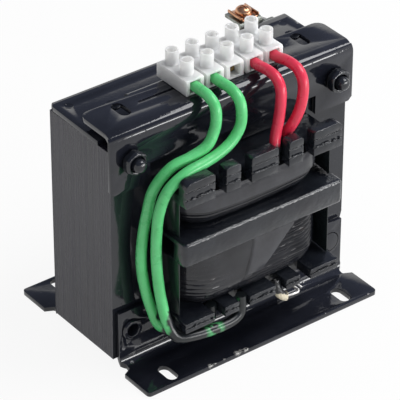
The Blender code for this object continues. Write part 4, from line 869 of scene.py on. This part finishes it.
def lacquer_plugs():
    """The rear bracket's holes, half of each front flange slot and the right rivet's bore are filled."""
    up = Vector((0, 0, 1))
    rear_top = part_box("rear_top_bracket")[1].z - REAR_HOLE_SINK
    flange_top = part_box("front_top_bracket")[1].z - FLANGE_SLOT_SINK
    for side, dip in REAR_HOLE_DIPS:
        lacquer_plug(
            f"lacquer_in_hole_{side + 2}", Vector((side * REAR_HOLE_X, REAR_HOLE_Y, rear_top)), up,
            (REAR_HOLE_RADIUS, REAR_HOLE_RADIUS), dip, STEEL,
        )
        lacquer_plug(
            f"lacquer_in_slot_{side + 2}", Vector((side * FLANGE_SLOT_X, FLANGE_SLOT_Y, flange_top)), up,
            FLANGE_SLOT_RADII, FLANGE_SLOT_DIP, PLASTIC,
        )
    low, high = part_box("foot_rivet_right")
    lacquer_plug(
        "lacquer_in_rivet", Vector(((low.x + high.x) / 2, low.y + RIVET_COVER_DEPTH, (low.z + high.z) / 2)),
        Vector((0, -1, 0)), (RIVET_COVER_RADIUS, RIVET_COVER_RADIUS), -RIVET_COVER_CROWN, STEEL,
    )


def beads():
    """Small beads of lacquer where it gathered and set under the lugs' faces."""
    scatter = random.Random(11)
    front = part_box("bobbin")[0].y + BEAD_PROUD
    shape = bmesh.new()
    for height, count in BEAD_ROWS:
        for _ in range(count):
            x = scatter.uniform(-BEAD_REACH, BEAD_REACH)
            if not any(first + BEAD_MARGIN < x < last - BEAD_MARGIN for first, last in LUGS):
                continue
            size = scatter.uniform(*BEAD_SIZE)
            place = Matrix.Translation((x, front, height + scatter.uniform(-BEAD_SCATTER, BEAD_SCATTER)))
            stretch = Matrix.Diagonal((scatter.uniform(*BEAD_LENGTHS), BEAD_DEPTH, scatter.uniform(*BEAD_HEIGHTS), 1))
            bmesh.ops.create_uvsphere(shape, u_segments=10, v_segments=7, radius=size, matrix=place @ stretch)
    mesh = bpy.data.meshes.new("lacquer_beads")
    shape.to_mesh(mesh)
    shape.free()
    mesh.shade_smooth()
    extra(put("lacquer_beads", mesh), PLASTIC)


# Windings

def clamped(value, least=0):
    return min(max(value, least), 1)


def coil_plan(half_width, reach, corner, crown):
    """Points and outward directions of a rounded rectangle whose front and rear faces bulge."""
    points = []
    sides = (2 * (reach - corner), FLAT_STEPS)
    faces = (2 * (half_width - corner), FLAT_STEPS * 2)
    for across, along, start, (length, steps) in (
        (1, -1, -90, sides), (1, 1, 0, faces), (-1, 1, 90, sides), (-1, -1, 180, faces),
    ):
        centre = Vector((across * (half_width - corner), along * (reach - corner)))
        for step in range(ARC_STEPS + 1):
            angle = math.radians(start + 90 * step / ARC_STEPS)
            away = Vector((math.cos(angle), math.sin(angle)))
            points.append((centre + away * corner, away))
        end = points[-1][0]
        points += [(end + length * step / steps * Vector((-away.y, away.x)), away) for step in range(1, steps)]
    shaped = []
    for spot, away in points:
        bulge = crown * (1 - (spot.x / half_width) ** 2) * (abs(spot.y) / reach) ** 2
        shaped.append((Vector((spot.x, spot.y + math.copysign(bulge, spot.y))), away))
    return shaped


def winding_plan():
    return coil_plan(WINDING_HALF_WIDTH, WINDING_REACH, WINDING_CORNER, WINDING_CROWN)


def corner_share(spot):
    """0 on the smooth middle of the front and rear faces, 1 at the coil's corners and sides."""
    return clamped((abs(spot.x) - SMOOTH_HALF_WIDTH) / WINDING_CORNER * 2)


def uneven(x, y, z, scale, seed):
    """Slow unevenness from 0 to 1, the same each run."""
    return 0.5 + 0.5 * noise.noise(Vector((x, y, z)) * scale + Vector((seed, seed * 1.7, -seed)))


def slant(edge, height):
    """Where a slanting edge of the tape on the lower winding lies at a height."""
    for (low, first), (high, last) in zip(edge, edge[1:]):
        if height <= high:
            return first + (last - first) * max(height - low, 0) / (high - low)
    return edge[-1][1]


def coil(name, levels, depth_at, low, high):
    """A ring of turns: each level gives (height, inset), depth_at the relief at a spot."""
    plan = winding_plan()
    inner = coil_plan(TUBE_HALF_X, TUBE_HALF_Y, TUBE_CORNER, 0)
    rings = []
    for height, inset in levels:
        ring = []
        for spot, away in plan:
            at = spot - away * (inset + depth_at(spot, height))
            ring.append((at.x, at.y, height))
        rings.append(ring)
    rings.append([(spot.x, spot.y, high) for spot, away in inner])
    rings.append([(spot.x, spot.y, low) for spot, away in inner])
    return lofted(name, rings)


def heights(node):
    return [corner.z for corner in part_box(node)]


def upper_levels():
    """The barrel shape of the upper winding, between the middle and the top flange."""
    low, high = heights("upper_winding")
    for step in range(UPPER_STEPS + 1):
        share = step / UPPER_STEPS
        lean = 2 * share - 1
        inset = UPPER_SHOULDER * lean ** 2.5 if lean > 0 else UPPER_BARREL * lean ** 2
        yield low + (high - low) * share, UPPER_INSET + inset


def upper_winding():
    levels = list(upper_levels())
    low, high = levels[0][0], levels[-1][0]
    tape_low = heights("upper_winding_tape")[0]

    def depth(spot, height):
        sway = UPPER_SWAY * uneven(spot.x, 0, height, 70, 2.0)
        wave = 0.5 + 0.5 * math.cos((height - low + sway) * math.tau / UPPER_PITCH)
        loose = uneven(spot.x, spot.y, height * 2.2, 110, 3.0)
        bare = clamped((tape_low - height) / UPPER_BARE_RUN)
        ridges = UPPER_RIDGES * (0.3 + corner_share(spot)) + UPPER_RIDGES_BARE * bare
        return ridges * wave + UPPER_LOOSE * loose

    stands_for(coil("upper_turns", levels, depth, low, high), "upper_winding", "lacquered_winding")


def lower_winding():
    low, high = heights("lower_winding")
    turns = round((high - low) / TURN_PITCH)
    pitch = (high - low) / turns
    levels = []
    for step in range(turns * LOWER_STEPS + 1):
        height = low + pitch * step / LOWER_STEPS
        near = min(height - low, 2 * LOWER_SHOULDER) / (2 * LOWER_SHOULDER)
        levels.append((height, LOWER_SHOULDER * (1 - near) ** 2))

    def depth(spot, height):
        sway = LOWER_SWAY * (uneven(spot.x, spot.y, height * 0.3, 60, 9.0) - 0.5)
        phase = ((height + sway - low) / pitch) % 1.0
        crest = math.sqrt(max(1 - (2 * phase - 1) ** 2, 0))
        loose = uneven(spot.x, spot.y, height * 1.5, 130, 5.0)
        bare = corner_share(spot)
        if spot.x < 0 and spot.y < 0:
            bare *= clamped((RIDGES_TOP - height) / RIDGES_RUN, RIDGES_LEAST)
        elif spot.y < 0:
            bare = max(bare, clamped((spot.x - slant(TAPE_RIGHT, height)) / RIDGES_RIGHT_RUN))
        turn = int((height + sway - low) / pitch)
        slack = clamped(2.2 * uneven(spot.x, spot.y, turn * 0.031, 120, 31.0) - 0.45, SLACK_LEAST)
        return TURN_DEPTH * (1 - crest) * bare * slack + LOWER_LOOSE * loose

    stands_for(coil("lower_turns", levels, depth, low, high), "lower_winding", "lacquered_winding")


def upper_tape():
    """A thin closed band round the top of the upper winding, creased outside."""
    low, high = heights("upper_winding_tape")
    rows = [(height, inset) for height, inset in upper_levels() if low - 1e-6 <= height <= high + 1e-6]
    plan = winding_plan()
    rings = []
    for (height, inset), skin in [(row, GAP + TAPE) for row in rows] + [(row, GAP) for row in reversed(rows)]:
        ring = []
        for spot, away in plan:
            crease = UPPER_CREASE * uneven(spot.x, spot.y, height * 3, 190, 12.0) if skin > GAP else 0
            at = spot + away * (skin - inset - crease)
            ring.append((at.x, at.y, height))
        rings.append(ring)
    stands_for(lofted("upper_tape_band", rings), "upper_winding_tape", "lacquered_tape")


def lower_tape():
    """A strip of tape up the front of the lower winding, creased, its edges stuck down."""
    box_low, box_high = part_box("lower_winding_tape")
    across, up = TAPE_FINE
    rings = []
    for row in range(up + 1):
        height = box_low.z + (box_high.z - box_low.z) * row / up
        left = max(slant(TAPE_EDGE, height), box_low.x)
        right = slant(TAPE_RIGHT, height) + TAPE_EDGE_SWAY * uneven(0, 0, height, 700, 4.0)
        front, back = [], []
        for column in range(across + 1):
            x = left + (right - left) * column / across
            face = -(WINDING_REACH + WINDING_CROWN * (1 - (x / WINDING_HALF_WIDTH) ** 2))
            stuck = min(x - left, right - x, height - box_low.z) / TAPE_STUCK
            proud = (GAP + TAPE) * math.sin(clamped(stuck) * math.pi / 2) - TAPE_SUNK
            crease = LOWER_CREASE * uneven(x, 0, height, 120, 21.0)
            front.append((x, face - proud + crease, height))
            back.append((x, face + TAPE_BACK, height))
        rings.append(front + back[::-1])
    stands_for(lofted("lower_tape_strip", rings, closed=False), "lower_winding_tape", "lacquered_tape")


# Leads

def tube_curve(name, points, diameter, sides=8):
    """A round lead as a curve of one open spline."""
    curve = bpy.data.curves.new(name, "CURVE")
    curve.dimensions = "3D"
    curve.bevel_depth = diameter / 2
    curve.bevel_resolution = sides
    curve.use_fill_caps = True
    spline = curve.splines.new("POLY")
    spline.points.add(len(points) - 1)
    for knot, point in zip(spline.points, points):
        knot.co = (*point, 1)
    spline.use_smooth = True
    return put(name, curve)


def strands(name, x):
    """The stripped end in the clamp: seven strands with a slight lay."""
    rings = []
    back, front = CLAMP_FRONT + STRANDS_REACH, CLAMP_FRONT - 2 * GAP
    steps, around = 14, 42
    for step in range(steps + 1):
        share = step / steps
        y = front + (back - front) * share
        ring = []
        for side in range(around):
            angle = math.tau * side / around
            lobe = abs(math.cos(STRANDS / 2 * (angle + share * STRANDS_LAY)))
            radius = CONDUCTOR / 2 * (1 - STRANDS_GROOVE * (1 - lobe))
            ring.append((x + radius * math.cos(angle), y, WIRE_Z + radius * math.sin(angle)))
        rings.append(ring)
    return extra(lofted(name, rings, closed=False, smooth_angle=70), "copper")


def lead(pole, route, node, slot):
    x = POLES[pole - 1]
    start = Vector((x, CLAMP_FRONT - 2 * GAP - GAP / 3, WIRE_Z))
    points = [start] + smooth_route([(x, BARREL_FRONT, WIRE_Z)] + list(route), LEAD_STEP)
    obj = tube_curve(node + "_insulation", points, LEAD_DIAMETER)
    stands_for(obj, node, slot)
    conductor = strands(node + "_strands", x)


def leads():
    lead(1, GREEN_LEAD_1, "green_lead_1", "green_insulation")
    lead(2, GREEN_LEAD_2, "green_lead_2", "green_insulation")
    lead(4, RED_LEAD_1, "red_lead_1", "red_insulation")
    lead(5, RED_LEAD_2, "red_lead_2", "red_insulation")


def sleeve():
    """The braided sleeve: two crossing sets of yarns stand out of its wall."""
    path = smooth_route(SLEEVE_ROUTE, SLEEVE_STEP)
    side_on = Vector((0, -0.6, -0.8))
    around = 48
    rings = []
    for outer in (True, False):
        for place in range(len(path)) if outer else reversed(range(len(path))):
            along = (path[min(place + 1, len(path) - 1)] - path[max(place - 1, 0)]).normalized()
            across = along.cross(side_on.cross(Vector((1, 0, 0)))).normalized()
            other = along.cross(across)
            ring = []
            for side in range(around):
                angle = math.tau * side / around
                if outer:
                    twist = place * SLEEVE_STEP / BRAID_PITCH * math.tau
                    yarn = max(abs(math.sin(4 * angle + twist)), abs(math.sin(4 * angle - twist)))
                    radius = SLEEVE_DIAMETER / 2 - BRAID_DEPTH * (1 - yarn)
                else:
                    radius = SLEEVE_BORE / 2
                ring.append(path[place] + radius * (across * math.cos(angle) + other * math.sin(angle)))
            rings.append(ring)
    stands_for(lofted("sleeve_braid", rings), "winding_end_sleeve", "cream_sleeve")


def winding_end():
    sleeve()
    points = smooth_route(WIRE_ROUTE, WIRE_STEP)
    obj = tube_curve("winding_end_bare_wire", points, WIRE_DIAMETER, 4)
    stands_for(obj, "winding_end_wire", "tinned_wire")


# Studio

def place_camera():
    azimuth, elevation = CAMERA_AZIMUTH, CAMERA_ELEVATION
    right = Vector((math.cos(azimuth), -math.sin(azimuth), 0))
    forward = Vector((
        math.sin(azimuth) * math.cos(elevation), math.cos(azimuth) * math.cos(elevation), -math.sin(elevation),
    ))
    up = right.cross(forward)
    across = right * math.cos(CAMERA_ROLL) + up * math.sin(CAMERA_ROLL)
    upward = up * math.cos(CAMERA_ROLL) - right * math.sin(CAMERA_ROLL)
    target = right * TARGET_ACROSS + Vector((0, 0, TARGET_HEIGHT))
    data = bpy.data.cameras.new("camera")
    data.sensor_width = SENSOR_MM
    data.lens = SENSOR_MM * FOCAL_PIXELS / FRAME_PIXELS
    camera = put("camera", data)
    camera.matrix_world = (
        Matrix.Translation(target - forward * CAMERA_DISTANCE)
        @ Matrix((across, upward, -forward)).transposed().to_4x4()
    )
    bpy.context.scene.camera = camera


def floor():
    """Pale and matt, with the object's shadow; camera, mirror and glass rays see it nearly white."""
    mesh = bpy.data.meshes.new("floor")
    corners = [(-1, -1), (1, -1), (1, 1), (-1, 1)]
    mesh.from_pydata([(x * FLOOR_HALF, y * FLOOR_HALF, FLOOR_HEIGHT) for x, y in corners], [], [(0, 1, 2, 3)])
    material = bpy.data.materials.new("pale floor")
    nodes = Nodes(material)
    path = nodes.add("LightPath").outputs
    seen = nodes.math("MAXIMUM", path["Is Camera Ray"], path["Is Glossy Ray"])
    seen = nodes.math("MAXIMUM", seen, path["Is Transmission Ray"])
    matt = nodes.add("BsdfDiffuse", FLOOR_COLOUR).outputs[0]
    white = nodes.add("Emission", WHITE).outputs[0]
    both = nodes.add("MixShader", nodes.times(seen, 1 - FLOOR_SHADOW), matt, white).outputs[0]
    nodes.add("OutputMaterial", both)
    mesh.materials.append(material)
    put("floor", mesh)


def sky():
    """White to the camera; a light band at the horizon under a darker, bluish room for reflections."""
    world = bpy.data.worlds.new("studio")
    nodes = Nodes(world)
    path = nodes.add("LightPath").outputs
    height = nodes.add("SeparateXYZ", nodes.add("TexCoord").outputs["Generated"]).outputs["Z"]
    ramp = nodes.add("ValToRGB", height)
    ramp.color_ramp.interpolation = "EASE"
    for element, position, colour in zip(ramp.color_ramp.elements, SKY_BAND, (WHITE, SKY_DARK)):
        element.position = position
        element.color = (*colour, 1)
    room = nodes.add("Background", ramp.outputs[0]).outputs[0]
    soft = nodes.add("Background", WHITE, AMBIENT).outputs[0]
    white = nodes.add("Background", WHITE).outputs[0]
    reflected = nodes.add("MixShader", path["Is Diffuse Ray"], room, soft).outputs[0]
    shown = nodes.add("MixShader", path["Is Camera Ray"], reflected, white).outputs[0]
    nodes.add("OutputWorld", shown)
    bpy.context.scene.world = world


def lamp(name, direction, size, watts):
    data = bpy.data.lights.new(name, "AREA")
    data.shape = "RECTANGLE"
    data.size, data.size_y = size
    data.energy = watts
    away = direction.normalized()
    obj = put(name, data)
    obj.location = Vector((0, 0, TARGET_HEIGHT)) + away * LAMP_DISTANCE
    obj.rotation_euler = away.to_track_quat("Z", "Y").to_euler()


MATERIALS = {
    "black_lacquer_core": core_lacquer(),
    STEEL: steel_lacquer(),
    PLASTIC: plastic_lacquer(),
    "lacquered_winding": winding_lacquer(),
    "lacquered_tape": tape_lacquer(),
    "insulating_sheet": sheet_lacquer(),
    "white_polyamide": polyamide(),
    "brass": metal("brass", (0.40, 0.29, 0.12), (0.22, 0.15, 0.065), 0.36),
    "zinc_steel": metal("zinc plate", (0.66, 0.67, 0.69), (0.46, 0.47, 0.49), 0.28),
    "tarnished_zinc": metal(
        "tarnished zinc", (0.40, 0.42, 0.38), (0.20, 0.21, 0.18), 0.34, 0.9, (0.07, 0.065, 0.05),
    ),
    "copper": metal(
        "copper plate", (0.76, 0.42, 0.25), (0.52, 0.26, 0.14), 0.22, 0.9, (0.16, 0.075, 0.045),
    ),
    "green_insulation": insulation(
        "green insulation", (0.085, 0.52, 0.165), (0.120, 0.62, 0.225), 0.0310, -0.0446,
    ),
    "red_insulation": insulation(
        "red insulation", (0.62, 0.020, 0.056), (0.74, 0.034, 0.085), 0.0905, -0.1,
    ),
    "cream_sleeve": woven_sleeve(),
    "tinned_wire": metal("tinned wire", (0.60, 0.59, 0.57), (0.34, 0.33, 0.32), 0.25),
}

place_camera()
leads()
laminated("core_e_laminations")
laminated("core_i_laminations")
for bracket in ("front_top_bracket", "front_foot_bracket", "rear_foot_bracket"):
    dressed(bracket, STEEL, 0.00035)
dressed("rear_top_bracket", STEEL, 0.00035, change=narrow_left_ear)
for side in ("left", "right"):
    change = low_rear_head if side == "left" else None
    drowned(dressed("clamp_bolt_" + side, PLASTIC, 0.0005, change=change), *ROUNDED_BOLT)
    drowned(dressed("clamp_nut_" + side, PLASTIC, 0.0006), *ROUNDED_NUT)
    dressed("foot_rivet_" + side, STEEL, 0.00015, change=flush_head if side == "right" else None)
    dressed("strip_screw_" + side, "zinc_steel", 0.00012)
    dressed("upper_" + side + "_sheet", "insulating_sheet", 0.00008)
    dressed("lower_" + side + "_sheet", "insulating_sheet", 0.00008)
dressed("bobbin", PLASTIC, 0.0003, change=without_rear_lugs)
beads()
upper_winding()
lower_winding()
upper_tape()
lower_tape()
winding_end()
dressed("terminal_strip_housing", "white_polyamide", 0.00025)
for pole in range(1, len(POLES) + 1):
    dressed(f"terminal_clamp_{pole}", "brass", 0.00015)
    for place in ("front", "rear"):
        dressed(f"terminal_screw_{pole}_{place}", "zinc_steel", 0.00010)
dressed("earth_tab", "zinc_steel", 0.00025)
dressed("earth_saddle", "copper", 0.00020, change=low_walls)
dressed("earth_screw", "copper", 0.00018)
lacquer_plugs()

floor()
sky()
for settings in LAMPS:
    lamp(*settings)
bpy.context.scene.view_settings.view_transform = "Standard"
